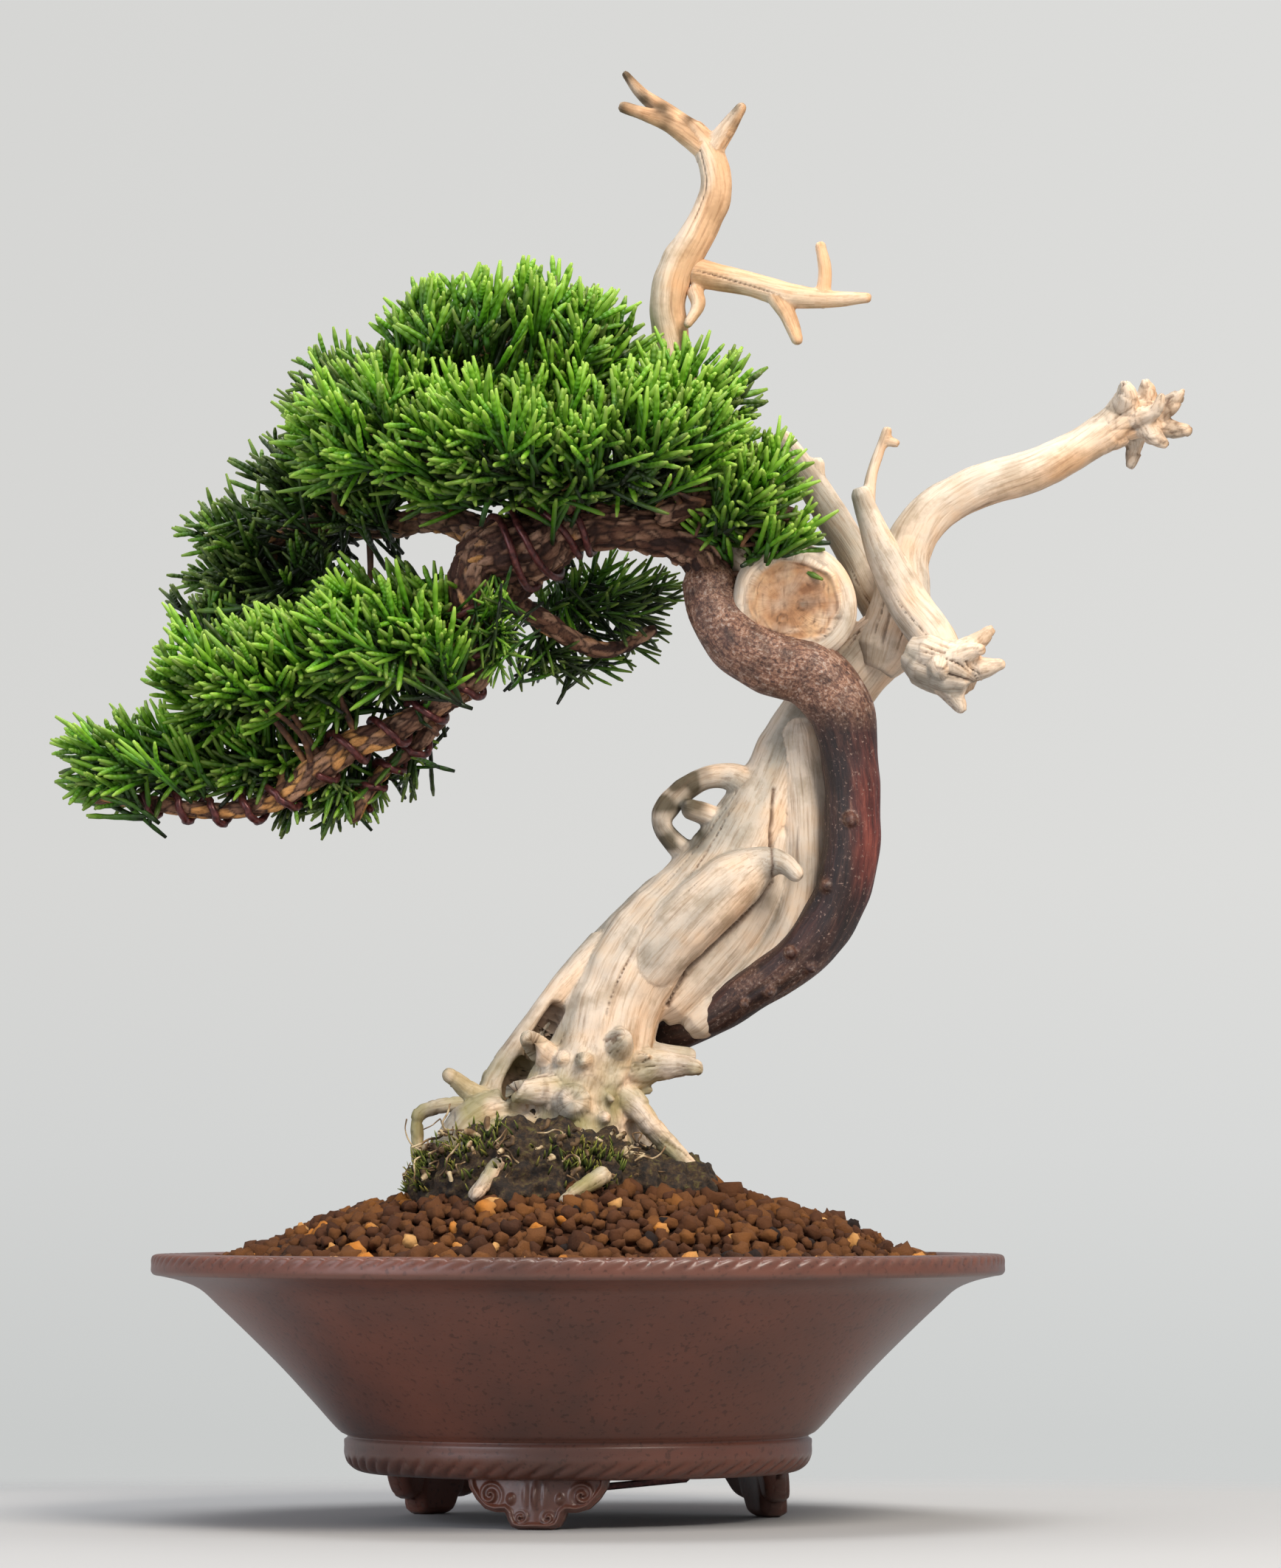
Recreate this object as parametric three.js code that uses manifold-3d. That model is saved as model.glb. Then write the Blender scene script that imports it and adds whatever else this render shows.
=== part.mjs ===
// A bonsai juniper in a round unglazed pot: a leaning trunk of bleached deadwood with a live
// vein up its right side, dead limbs (jin), wired branches and pads of foliage, planted in a
// mound of granular soil. Millimetres, +Z up. It is drawn about the pot's axis with z = 0 on
// the feet's soles, and at the end it is moved so that the origin is under the middle of its box.
import * as THREE from 'three';
import { mergeVertices } from 'three/addons/utils/BufferGeometryUtils.js';
import Module from 'manifold-3d';

const wasm = await Module();
wasm.setup();

// Driving dimensions, mm
const GAP = 0.3; // clearance between touching pieces
const ROUND = 44; // segments round the pot

const RIM_R = 80; // the pot
const RIM_TOP = 49.7;
const RIM_BAND = 3.8;
const RIM_WIDTH = 7;
const WALL = 5;
const RING_R = 43.8; // the moulding round its foot
const RING_TOP = 15.6;
const RING_BOTTOM = 9;
const POT_FLOOR_TOP = 15.5;
const POT_FLOOR_UNDER = 10.6;
const DRAIN_R = 7;
const TIE_HOLE_R = 1.8;
const TIE_HOLE_X = 22;

const NET_SIDE = 22; // the drain net
const NET_THICK = 0.8;
const NET_PITCH = 5;
const NET_OPENING = 3.4;
const CLIP_WIRE = 1;
const CLIP_REACH = 12; // each leg of its clip, under the floor
const CLIP_LEG_X = 2.5;

const FOOT_RADIUS = 40.5; // from the pot's axis to a foot's outer face
const FOOT_DEPTH = 4.6;
const FOOT_HALF_TOP = 13; // half its width under the ring
const FOOT_HALF_LOBE = 5.4; // half the width of the lobe it stands on
const FOOT_HALF_SOLE = 3;
const FOOT_TURNS = { foot_front: -101, foot_back_left: 139, foot_back_right: 19 }; // degrees

const SOIL_TOP = [[0, 64], [20, 63.5], [28, 62], [36, 59.4], [49, 55.4], [57, 51.4], [62, 49.4],
  [70.4, 45.6]];
const WIRE = 1.4; // training wire
const TIE_WIRE = 1.5;
const LEAF_CLEAR = 3.3; // foliage stands this far off the wood, which leaves room for the wires

// Wood: each limb is a row of [x, y, z, diameter] along its middle, from its root to its end.
const TRUNK = [[-2, 0, 47, 27], [-2, 0, 60, 30], [-2, 0, 70, 28], [-0.5, 0, 79, 24],
  [3.5, 0.5, 88, 20.5], [6, 1, 96, 19.5], [10, 1.5, 103, 19.5], [16, 2, 110.5, 18.5],
  [23, 2.5, 117, 17.5], [28.5, 3, 123.5, 17], [33, 3.5, 130.5, 15.5], [36.8, 4.5, 138, 13],
  [41, 7, 147, 12], [48.5, 9, 156, 13], [55, 7, 163, 13], [60, 4, 168, 11]];
const TRUNK_STRIP = [[5, 0, 107, 8], [0.5, -2, 103, 6.4], [-3, -3, 99.5, 5.4], [-6, -3.5, 95.7, 5],
  [-9.4, -3.5, 91, 5.2], [-12.7, -3.5, 86, 5.8], [-15.3, -3.5, 81, 6.6], [-16, -3, 73, 8]];
const TRUNK_HOOK = [[33, 3, 137, 9], [28.5, 3, 138.2, 6.4], [23.5, 3, 138.4, 5], [19, 3, 135.8, 5],
  [16.3, 3, 131.8, 4.6], [17.4, 3, 128.8, 4.2], [20.5, 3, 126.4, 4.2], [25, 3, 122, 5.4]];
const TRUNK_HOOK_STUB = [[29, 2, 129.5, 5], [24.6, 1.5, 132.2, 4.4], [20.8, 0, 133.4, 4]];
const TRUNK_FLAP = [[7, -2, 97, 9], [12.5, -3.5, 103.5, 11], [19, -4.5, 110, 12],
  [25.5, -5.5, 116, 12], [31, -6, 120.5, 10.5], [35.2, -7.5, 122.8, 6.5], [38.5, -9.5, 122.6, 4.2],
  [41, -11, 120.4, 3.2]];
const TRUNK_WEB = [[17, 2, 97, 10], [24, 2, 104, 11], [30.5, 2, 111, 11], [35, 2, 119, 11],
  [37.5, 2.5, 128, 10]]; // the hollowed face beside the vein
const TRUNK_EDGE = [[22, 2, 93, 7], [31, 1.5, 100.5, 7.6], [38, 1, 108, 8.4], [41.8, 1, 117, 9],
  [42.6, 1, 128, 9], [42.6, 2, 138, 9], [42, 3, 147, 8]];
const TRUNK_BACKING = [[3, 4, 101, 8], [-3, 4, 93, 8], [-8, 3, 84, 9], [-10, 2, 74, 10]];
const BASE_STUBS = [
  [[6, -2, 83, 10], [14, -4, 85, 6.6], [19, -5, 85, 4.4], [22.3, -6, 84.6, 3.2]],
  [[8, 0, 88, 6], [16, 1, 87, 4.5], [21, 2, 86.8, 3.5]],
  [[6, -3, 87, 8], [7.5, -8, 89, 6], [8.5, -10, 90, 4]],
  [[-1, -4, 80, 9], [-7, -11, 80.2, 6], [-12, -12.5, 80, 4]],
  [[-2, -4, 77, 8], [-1, -13, 78, 7]],
  [[-4, -5, 85, 6], [-7.5, -9, 88.3, 5], [-9.2, -11, 90, 3.8]],
  [[-14, -5, 76.5, 5.5], [-20.4, -7, 80.3, 4], [-24.3, -8, 83.3, 3]],
  [[-14, 0, 77, 5], [-20, 1, 77.8, 3.4], [-26, 1, 77.4, 3], [-29.8, 1, 76.2, 2.8],
    [-30.4, 0.5, 72, 2.6], [-30, 0, 66, 2.6], [-29.4, 0, 61, 2.4]],
  [[-8, -4, 74, 11], [-15, -8, 76.5, 8], [-20.5, -9, 74, 7.4], [-24, -9.5, 68, 7.4],
    [-25.5, -9, 61, 7]],
  [[-6, -6, 72, 10], [-14, -13, 71.5, 7], [-21, -16, 67.5, 6]],
  [[6, -4, 80, 9], [11, -6, 77, 5.4], [14.5, -7, 72.5, 4.2], [18.5, -8, 68.5, 3.6],
    [23, -8.5, 64, 3]],
  [[6, 6, 74, 12], [13, 14, 68, 9], [18, 21, 60, 6]],
];
const PRUNED_KNOB = [[47, 8, 170, 13], [43, 2, 172, 19], [40.3, -7.5, 171.8, 18.4]];
const PRUNED_ARM = [[42, 2, 174, 13], [34, 1, 178.3, 9.5], [27.5, 1.2, 183.5, 6]];
const LIVE_VEIN = [[2, 17, 52, 9], [5, 17.5, 66, 8.5], [10, 16, 78, 7.5], [16.5, 10, 87, 7],
  [23.9, 3, 93.6, 7.4], [32.8, -1, 99.4, 8.4], [41.6, -3, 105.5, 9.4], [47.8, -4, 113.8, 10.3],
  [50.8, -5, 123.3, 10.6], [51.5, -5, 133.6, 10.5], [50.9, -5.5, 143.9, 10.8],
  [49, -6, 152.5, 12.6], [44, -6, 159, 12.6], [37, -6, 161.3, 11.4], [31.2, -5, 164.6, 11],
  [27.2, -3, 170.4, 9.2], [25, -2, 176.8, 8]];

const JIN_TOP = [[30, 6, 184, 10], [24, 6, 198, 9], [19.2, 6, 212, 8.6], [17.3, 6, 223, 7.8],
  [16.5, 5, 230, 7.6], [18.2, 4.5, 237, 7.6], [22, 4, 243, 7.2], [25.6, 4, 251, 7],
  [24.2, 4, 258.5, 6], [21.5, 4, 262, 5]];
const JIN_TOP_TIPS = [
  [[23.5, 4, 259, 5.6], [17, 3.6, 263.4, 4], [9, 3, 265.6, 3]],
  [[21, 4, 262, 4.6], [15.5, 6, 266.4, 3.8], [9.3, 8, 271.8, 2.4]],
  [[24.5, 4, 257, 5], [27.6, 2.6, 261.4, 3.8], [30.3, 1.5, 265.3, 2.6]],
];
const JIN_TOP_ARM = [[22.5, 5, 235, 6], [31.3, 2, 232.8, 5.4], [40.1, -1, 230.2, 4.8],
  [47.5, -3, 229.4, 3.8], [54.2, -5, 229.4, 2.8]];
const JIN_TOP_ARM_TWIGS = [
  [[46, -2.5, 229.5, 3.2], [46.6, -2, 235, 2.6], [45.7, -1, 240.2, 2.2]],
  [[37.5, -0.5, 230.5, 4], [39.8, -2, 226, 3.2], [41.3, -3.5, 221.6, 2.4]],
];
const JIN_RIGHT = [[57.5, 4, 163, 12], [61, 5, 172, 11.4], [62, 6, 181.5, 9.6],
  [66.4, 7, 188.7, 8.9], [75, 8, 194.2, 8.4], [87.4, 9, 198, 8.6], [96.9, 10, 203, 7.8],
  [104, 10.5, 207.2, 9], [110, 11, 208.5, 9.5]];
const JIN_RIGHT_TIPS = [
  [[107, 11, 209, 6], [108.2, 10, 214.2, 4]],
  [[108, 11, 207, 6], [115.6, 9, 204.9, 3.6]],
  [[106, 11, 207, 7], [105.6, 12, 198.8, 3.6]],
];
const JIN_FRONT = [[68, -7, 161.5, 9], [66.4, -6, 165.5, 8.6], [62.3, -5, 171.5, 8.2],
  [58.2, -6, 179.4, 7.2], [55, -7, 187, 5], [53, -7.5, 192.4, 3.8]];
const JIN_FRONT_TWIG = [[54.8, -6, 189.5, 3], [55.6, -5.5, 197, 2.7], [58.8, -5, 206.4, 2.3]];
const KNOT = [
  [[65, -7, 161.6, 11], [71, -9, 158.5, 11]],
  [[70, -9, 160.5, 7], [76.6, -10, 165.6, 4]],
  [[71, -9, 159.5, 7], [78, -11, 159, 3.8]],
  [[69, -9, 158, 8], [70.6, -9.5, 153.8, 4.4]],
];
const JIN_BACK = [[60.4, 11, 167.5, 8], [55.6, 12.6, 175, 7.2], [52.5, 13, 182.5, 6.8],
  [48, 13, 190.4, 6.6], [43.8, 13, 197.2, 5.8], [38.5, 13, 205, 4.4]];
const JIN_BACK_TWIG = [[45.6, 13, 193.6, 3.4], [45.4, 12.6, 200.4, 2.8]];

const MAIN_BRANCH = [[24.8, -1.8, 177.6, 8.6], [22.5, -1.6, 182.2, 8.4], [16.5, -2, 185, 8],
  [7, -3, 186.4, 8], [-2, -4, 186, 9.6], [-8.5, -4, 182.5, 13], [-14, -4, 181.5, 12.6],
  [-19.5, -4, 180.5, 10]];
const LOWER_BRANCH = [[-18.5, -4, 180, 9.6], [-20.6, -4.4, 174.4, 9.2], [-19.4, -5, 166.5, 7.8],
  [-18.6, -5, 160.4, 6.6], [-22, -5, 156, 5.6], [-28.6, -5, 151.4, 4.6], [-36.3, -5, 147.2, 5],
  [-43.5, -5, 144.6, 5.8], [-49.8, -5, 140, 5.6], [-55, -4.6, 135.8, 4.4], [-61, -4, 133.4, 3.6],
  [-69, -4, 132.9, 3.2], [-77, -4, 133.8, 3], [-84, -4, 134.7, 2.6], [-92, -4, 135.4, 2.2]];
const BACK_LOW_BRANCH = [[-10.5, -2, 177.4, 7.5], [-12.5, 1, 173, 5], [-6.3, 6, 169.4, 4],
  [0, 10, 165.5, 3.6], [7, 13, 164.6, 3], [14, 16, 168.5, 2.4]];
const FORK_BRANCH = [[-26, -1.6, 151.2, 4], [-30.6, 1.5, 145.4, 3], [-36, 2.6, 141.4, 2.8],
  [-40, 2.6, 136.6, 2.6], [-42.6, 2.6, 131.6, 2.4]];
const APEX_BRANCH = [[-6.4, 1.2, 185.4, 8], [-8, 2.4, 193, 6.6], [-12, 1, 203, 5.4],
  [-10.5, -1, 214, 4.4], [-13, -2, 224, 3.4]];
const BACK_LEFT_BRANCH = [[-15.5, 2, 184, 6.6], [-26, 8, 189, 5.4], [-38, 13, 188, 4.4],
  [-50, 16, 189, 3.8], [-62, 18, 184, 3]];
const RIGHT_BRANCH = [[16, -6, 188.6, 5], [24, -9, 190.4, 4.4], [32, -9, 189.4, 3.8],
  [40, -8.5, 188, 3]];
const FRONT_BRANCH = [[-2, -9, 190.4, 5], [-5, -16, 195, 4.4], [-14, -22, 199, 3.4],
  [-22, -26, 201, 2.8]];

// Wires: [branch, how far along it they start and end, turns, where they start round it in turns]
const WIRES = {
  wire_main_upper: [MAIN_BRANCH, 0.52, 0.93, 2, 0.1],
  wire_main_lower: [MAIN_BRANCH, 0.52, 0.93, 2, 0.42],
  wire_lower_branch: [LOWER_BRANCH, 0.06, 0.56, 6.5, 0.2],
  wire_branch_tip: [LOWER_BRANCH, 0.62, 0.9, 4.5, 0.4],
  wire_fork: [FORK_BRANCH, 0.2, 0.9, 3.5, 0],
};

// Foliage: each pad is a few flattened balls, [x, y, z, half width, half depth, half height]
const PADS = {
  foliage_apex: [[-13, -2, 227, 21, 24, 9], [-2, -2, 222, 13.5, 18, 10],
    [-27, 0, 221.5, 11.5, 15, 9], [-8, 2, 213, 27, 17, 8]],
  foliage_middle_left: [[-36.5, -6, 204, 18.5, 25, 13.5], [-18, -12, 201, 23, 29, 13.5]],
  foliage_middle_right: [[9, -8, 201.5, 25, 30, 14.5], [22, -2, 211, 14, 21, 11],
    [32, -5, 195, 13, 18, 12.5], [39, -8, 186.5, 8.5, 10, 6]],
  foliage_back_left: [[-62, 20, 181.5, 15, 18, 13], [-50, 20, 196, 17, 22, 14],
    [-43, 12, 213.5, 13, 18, 9.5]],
  foliage_lower: [[-65, -9, 158, 19, 20, 11], [-43, -11, 163, 21, 22, 11.5],
    [-37, -8, 173, 10, 12, 6]],
  foliage_branch_tip: [[-85, -4, 141.5, 14.5, 15, 9.5], [-67, 2, 142.5, 14, 14, 8.5]],
  foliage_hanging: [[-48.5, 6, 134.5, 15, 12, 7.5]],
  foliage_back_low: [[7.5, 19, 172, 14.5, 13, 11.5], [-1, 15, 162, 9, 10, 5.5]],
  foliage_tuft: [[-15.5, -13, 164.5, 5, 6, 8]],
};

// The planting round the tree's foot: [x, y, z, half width, half depth, half height]
const ROOT_MOUND = [[-8, -5, 61, 24, 26, 15.5], [12, -1, 60.5, 16, 22, 10]];
// Moss grows on the mound's side: [degrees round it from +X, degrees up, size]
const MOSS = {
  moss_front: [-118, 22, 7],
  moss_front_right: [-58, 20, 6],
  moss_left: [-166, 18, 6.5],
  moss_back: [95, 24, 7.5],
};
const DEAD_ROOTS = {
  dead_root_right: [[-2.5, -32, 59.6, 2.4], [1, -31, 62.2, 3], [5, -29.4, 64.6, 3.6]],
  dead_root_left: [[-19, -28, 60.5, 2.6], [-16.5, -27.6, 63.6, 3.4], [-14.5, -26, 67, 3]],
};

// Colours
const paint = (color, roughness) => new THREE.MeshStandardMaterial({ color, roughness, metalness: 0 });
const CLAY = paint(0x5a3430, 0.5);
const NET = paint(0x20221f, 0.6);
const COPPERED = new THREE.MeshStandardMaterial({ color: 0x5a2e2a, roughness: 0.4, metalness: 0.3 });
const GRAIN = paint(0x7a4a30, 0.95);
const MUCK = paint(0x2c2116, 0.95);
const MOSS_GREEN = paint(0x4c6a24, 0.95);
const BONE = paint(0xdcc6a6, 0.75);
const VEIN = paint(0x4c2d29, 0.6);
const BARK = paint(0x86593b, 0.85);
const LEAF = paint(0x3f8a26, 0.6);

// Geometry to solid and back
function toSolid(geometry) {
  const bare = geometry.clone();
  bare.deleteAttribute('normal');
  bare.deleteAttribute('uv');
  const merged = mergeVertices(bare, 1e-4);
  const vertProperties = new Float32Array(merged.attributes.position.array);
  const triVerts = new Uint32Array(merged.index.array);
  return new wasm.Manifold(new wasm.Mesh({ numProp: 3, vertProperties, triVerts }));
}

function toMesh(name, solid, material) {
  const { vertProperties, triVerts, numProp, numVert } = solid.getMesh();
  const positions = new Float32Array(numVert * 3);
  for (let i = 0; i < numVert; i++) {
    positions.set(vertProperties.subarray(i * numProp, i * numProp + 3), i * 3);
  }
  const geometry = new THREE.BufferGeometry();
  geometry.setAttribute('position', new THREE.BufferAttribute(positions, 3));
  geometry.setIndex(new THREE.BufferAttribute(new Uint32Array(triVerts), 1));
  geometry.computeVertexNormals();
  const mesh = new THREE.Mesh(geometry, material);
  mesh.name = name;
  return mesh;
}

// A profile of [radius, height] turned round the z axis
function turned(profile, segments = ROUND) {
  const points = profile.map(([r, z]) => new THREE.Vector2(r, z));
  return toSolid(new THREE.LatheGeometry(points, segments).rotateX(Math.PI / 2));
}

// A tube that tapers along a row of [x, y, z, diameter], with its ends closed
function limbGeometry(points, grow, sides, stepsPerSpan) {
  const middles = points.map(([x, y, z]) => new THREE.Vector3(x, y, z));
  const last = middles.length - 1;
  const stretch = (end, inner) => end.add(end.clone().sub(inner).setLength(grow));
  if (grow > 0) {
    stretch(middles[0], middles[1]);
    stretch(middles[last], middles[last - 1]);
  }
  const curve = new THREE.CatmullRomCurve3(middles, false, 'centripetal');
  const steps = last * stepsPerSpan;
  const tangents = [];
  for (let i = 0; i <= steps; i++) tangents.push(curve.getTangent(i / steps));
  const normal = new THREE.Vector3(0, 1, 0).cross(tangents[0]);
  if (normal.lengthSq() < 1e-6) normal.set(1, 0, 0);
  const tube = new THREE.CylinderGeometry(1, 1, 1, sides, steps);
  const place = tube.attributes.position;
  for (let i = 0; i < place.count; i++) {
    const step = Math.round((place.getY(i) + 0.5) * steps);
    const along = (step / steps) * last;
    const span = Math.min(Math.floor(along), last - 1);
    const diameter = THREE.MathUtils.lerp(points[span][3], points[span + 1][3], along - span);
    const tangent = tangents[step];
    const across = normal.clone().addScaledVector(tangent, -normal.dot(tangent)).normalize();
    const over = new THREE.Vector3().crossVectors(across, tangent);
    const reach = diameter / 2 + grow;
    const at = curve.getPoint(step / steps)
      .addScaledVector(across, place.getX(i) * reach)
      .addScaledVector(over, place.getZ(i) * reach);
    place.setXYZ(i, at.x, at.y, at.z);
  }
  return tube;
}

function limb(points, grow = 0, sides = 7, stepsPerSpan = 1) {
  return toSolid(limbGeometry(points, grow, sides, stepsPerSpan));
}

// A flattened ball with gentle lumps
function ball([x, y, z, halfX, halfY, halfZ], grow, detail = 3) {
  const geometry = new THREE.IcosahedronGeometry(1, detail);
  const place = geometry.attributes.position;
  for (let i = 0; i < place.count; i++) {
    const [a, b, c] = [place.getX(i), place.getY(i), place.getZ(i)];
    const lump = 1 + 0.06 * Math.sin(5 * a + x) * Math.sin(4 * b + y) + 0.05 * Math.sin(6 * c + z);
    place.setXYZ(
      i,
      x + a * (halfX * lump + grow),
      y + b * (halfY * lump + grow),
      z + c * (halfZ * lump + grow),
    );
  }
  return toSolid(geometry);
}

const joined = (solids) => solids.reduce((whole, next) => whole.add(next));
const limbs = (rows, sides) => (grow) => joined(rows.map((row) => limb(row, grow, sides)));
const balls = (rows, detail) => (grow) => joined(rows.map((row) => ball(row, grow, detail)));

// Cutting can leave a crumb beside the piece
function largest(solid) {
  return solid.decompose().reduce((most, body) => (body.volume() > most.volume() ? body : most));
}

function moss([degrees, up, size]) {
  const [x, y, z, halfX, halfY, halfZ] = ROOT_MOUND[0];
  const [round, rise] = [THREE.MathUtils.degToRad(degrees), THREE.MathUtils.degToRad(up)];
  const place = [
    x + halfX * Math.cos(rise) * Math.cos(round),
    y + halfY * Math.cos(rise) * Math.sin(round),
    z + halfZ * Math.sin(rise),
  ];
  return balls([[...place, size, size, size * 0.7]], 1);
}

// A wire wound on a branch, as the row of points of its own middle
function winding([branch, from, to, turns, start]) {
  const last = branch.length - 1;
  const middles = branch.map(([x, y, z]) => new THREE.Vector3(x, y, z));
  const curve = new THREE.CatmullRomCurve3(middles, false, 'centripetal');
  const count = Math.round(turns * 7);
  const row = [];
  for (let i = 0; i <= count; i++) {
    const t = from + ((to - from) * i) / count;
    const span = Math.min(Math.floor(t * last), last - 1);
    const diameter = THREE.MathUtils.lerp(branch[span][3], branch[span + 1][3], t * last - span);
    const tangent = curve.getTangent(t);
    const side = new THREE.Vector3(0, 1, 0).addScaledVector(tangent, -tangent.y).normalize();
    const up = new THREE.Vector3().crossVectors(side, tangent);
    const angle = 2 * Math.PI * ((turns * i) / count + start);
    const reach = (diameter + WIRE) / 2 + 1.5 * GAP;
    const at = curve.getPoint(t)
      .addScaledVector(side, Math.cos(angle) * reach)
      .addScaledVector(up, Math.sin(angle) * reach);
    row.push([at.x, at.y, at.z, WIRE]);
  }
  return row;
}

// The pot: a turned bowl with a drain hole and two holes for the tie wire, on three feet
function potBowl() {
  const innerRim = RIM_R - RIM_WIDTH;
  const bowl = turned([
    [DRAIN_R, POT_FLOOR_UNDER], [RING_R - 8.5, POT_FLOOR_UNDER], [RING_R - 7, RING_BOTTOM],
    [RING_R - 4, RING_BOTTOM], [RING_R - 1.4, RING_BOTTOM + 1.1], [RING_R, RING_BOTTOM + 3.2],
    [RING_R, RING_TOP], [RING_R - 0.5, RING_TOP + 0.4], [49.5, 22], [55, 28], [61, 34],
    [67.3, 40], [71, 43.2], [75, 44.9],
    [RIM_R - 0.6, RIM_TOP - RIM_BAND], [RIM_R, RIM_TOP - RIM_BAND + 0.8], [RIM_R, RIM_TOP - 0.8],
    [RIM_R - 0.8, RIM_TOP], [innerRim, RIM_TOP], [innerRim, RIM_TOP - 3],
    [63 - WALL, 38], [48.5 - WALL, 22.5], [RING_R - WALL - 3, POT_FLOOR_TOP + 1],
    [RING_R - WALL - 7, POT_FLOOR_TOP], [DRAIN_R, POT_FLOOR_TOP], [DRAIN_R, POT_FLOOR_UNDER],
  ]);
  const holes = [-TIE_HOLE_X, TIE_HOLE_X].map((x) => limb(
    [[x, 0, 5, 2 * TIE_HOLE_R], [x, 0, 20, 2 * TIE_HOLE_R]],
  ));
  return bowl.subtract(joined(holes));
}

// A foot is a plate with a scrolled outline, luted under the foot ring
function foot(degrees) {
  const top = RING_BOTTOM - GAP;
  const [wide, lobe, sole] = [FOOT_HALF_TOP, FOOT_HALF_LOBE, FOOT_HALF_SOLE];
  const outline = new THREE.Shape();
  outline.moveTo(-sole, 0);
  outline.lineTo(sole, 0);
  outline.quadraticCurveTo(lobe, 0.6, lobe, 3.2);
  outline.quadraticCurveTo(lobe + 2, 2.6, lobe + 4.2, 3.7);
  outline.quadraticCurveTo(wide - 1.4, 5.4, wide, top);
  outline.lineTo(-wide, top);
  outline.quadraticCurveTo(1.4 - wide, 5.4, -lobe - 4.2, 3.7);
  outline.quadraticCurveTo(-lobe - 2, 2.6, -lobe, 3.2);
  outline.quadraticCurveTo(-lobe, 0.6, -sole, 0);
  const plate = new THREE.ExtrudeGeometry(outline, {
    depth: FOOT_DEPTH,
    bevelEnabled: false,
    curveSegments: 4,
  });
  plate.rotateX(Math.PI / 2).translate(0, FOOT_DEPTH - FOOT_RADIUS, 0);
  return toSolid(plate.rotateZ(THREE.MathUtils.degToRad(degrees + 90)));
}

// Plastic net over the drain hole; the room it needs is a plain block
function drainNet(grow) {
  const middle = POT_FLOOR_TOP + GAP + NET_THICK / 2;
  const side = NET_SIDE + 2 * grow;
  const block = new THREE.BoxGeometry(side, side, NET_THICK + 2 * grow);
  const sheet = toSolid(block.translate(0, 0, middle));
  if (grow > 0) return sheet;
  const rows = [-1.5, -0.5, 0.5, 1.5].map((place) => place * NET_PITCH);
  const openings = rows.flatMap((x) => rows.map((y) => toSolid(
    new THREE.BoxGeometry(NET_OPENING, NET_OPENING, 5 * NET_THICK).translate(x, y, middle),
  )));
  return sheet.subtract(joined(openings));
}

// The clip that holds the net: a wire over it, down through the drain hole and out under the floor
function netClip(grow) {
  const [leg, y] = [CLIP_LEG_X, CLIP_LEG_X];
  const over = POT_FLOOR_TOP + 2.6;
  const under = POT_FLOOR_UNDER - 1.2;
  const bends = [[-CLIP_REACH, y, under], [-leg, y, under], [-leg, y, over], [leg, y, over],
    [leg, y, under], [CLIP_REACH, y, under]];
  const straights = bends.slice(1).map((end, i) => [[...bends[i], CLIP_WIRE], [...end, CLIP_WIRE]]);
  return limbs(straights, 6)(Math.max(grow, 0.1));
}

// The wire that ties the tree in: under the floor, up both holes and over the roots
function tieWire(grow) {
  const under = POT_FLOOR_UNDER - 3;
  const over = 40;
  const side = (sign) => [
    [sign * (TIE_HOLE_X - 2), 0, under], [sign * TIE_HOLE_X, 0, POT_FLOOR_UNDER],
    [sign * TIE_HOLE_X, 0, 24], [sign * TIE_HOLE_X, 12, over - 4],
  ];
  const route = [[-3, 24, over + 3], ...side(-1).toReversed(), ...side(1), [3, 24, over]];
  return limb(route.map((point) => [...point, TIE_WIRE]), grow, 5, 2);
}

// The soil fills the bowl 0.3 mm clear of its wall and stands above the rim in a low mound
function soil() {
  const bottom = POT_FLOOR_TOP + GAP;
  return turned([
    [0, bottom], [RING_R - WALL - 7.5, bottom], [RING_R - WALL - 3.6, bottom + 1.2],
    [47.8 - WALL, 22.8], [62.4 - WALL, 38.2], ...SOIL_TOP.toReversed(),
  ], 40);
}

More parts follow.
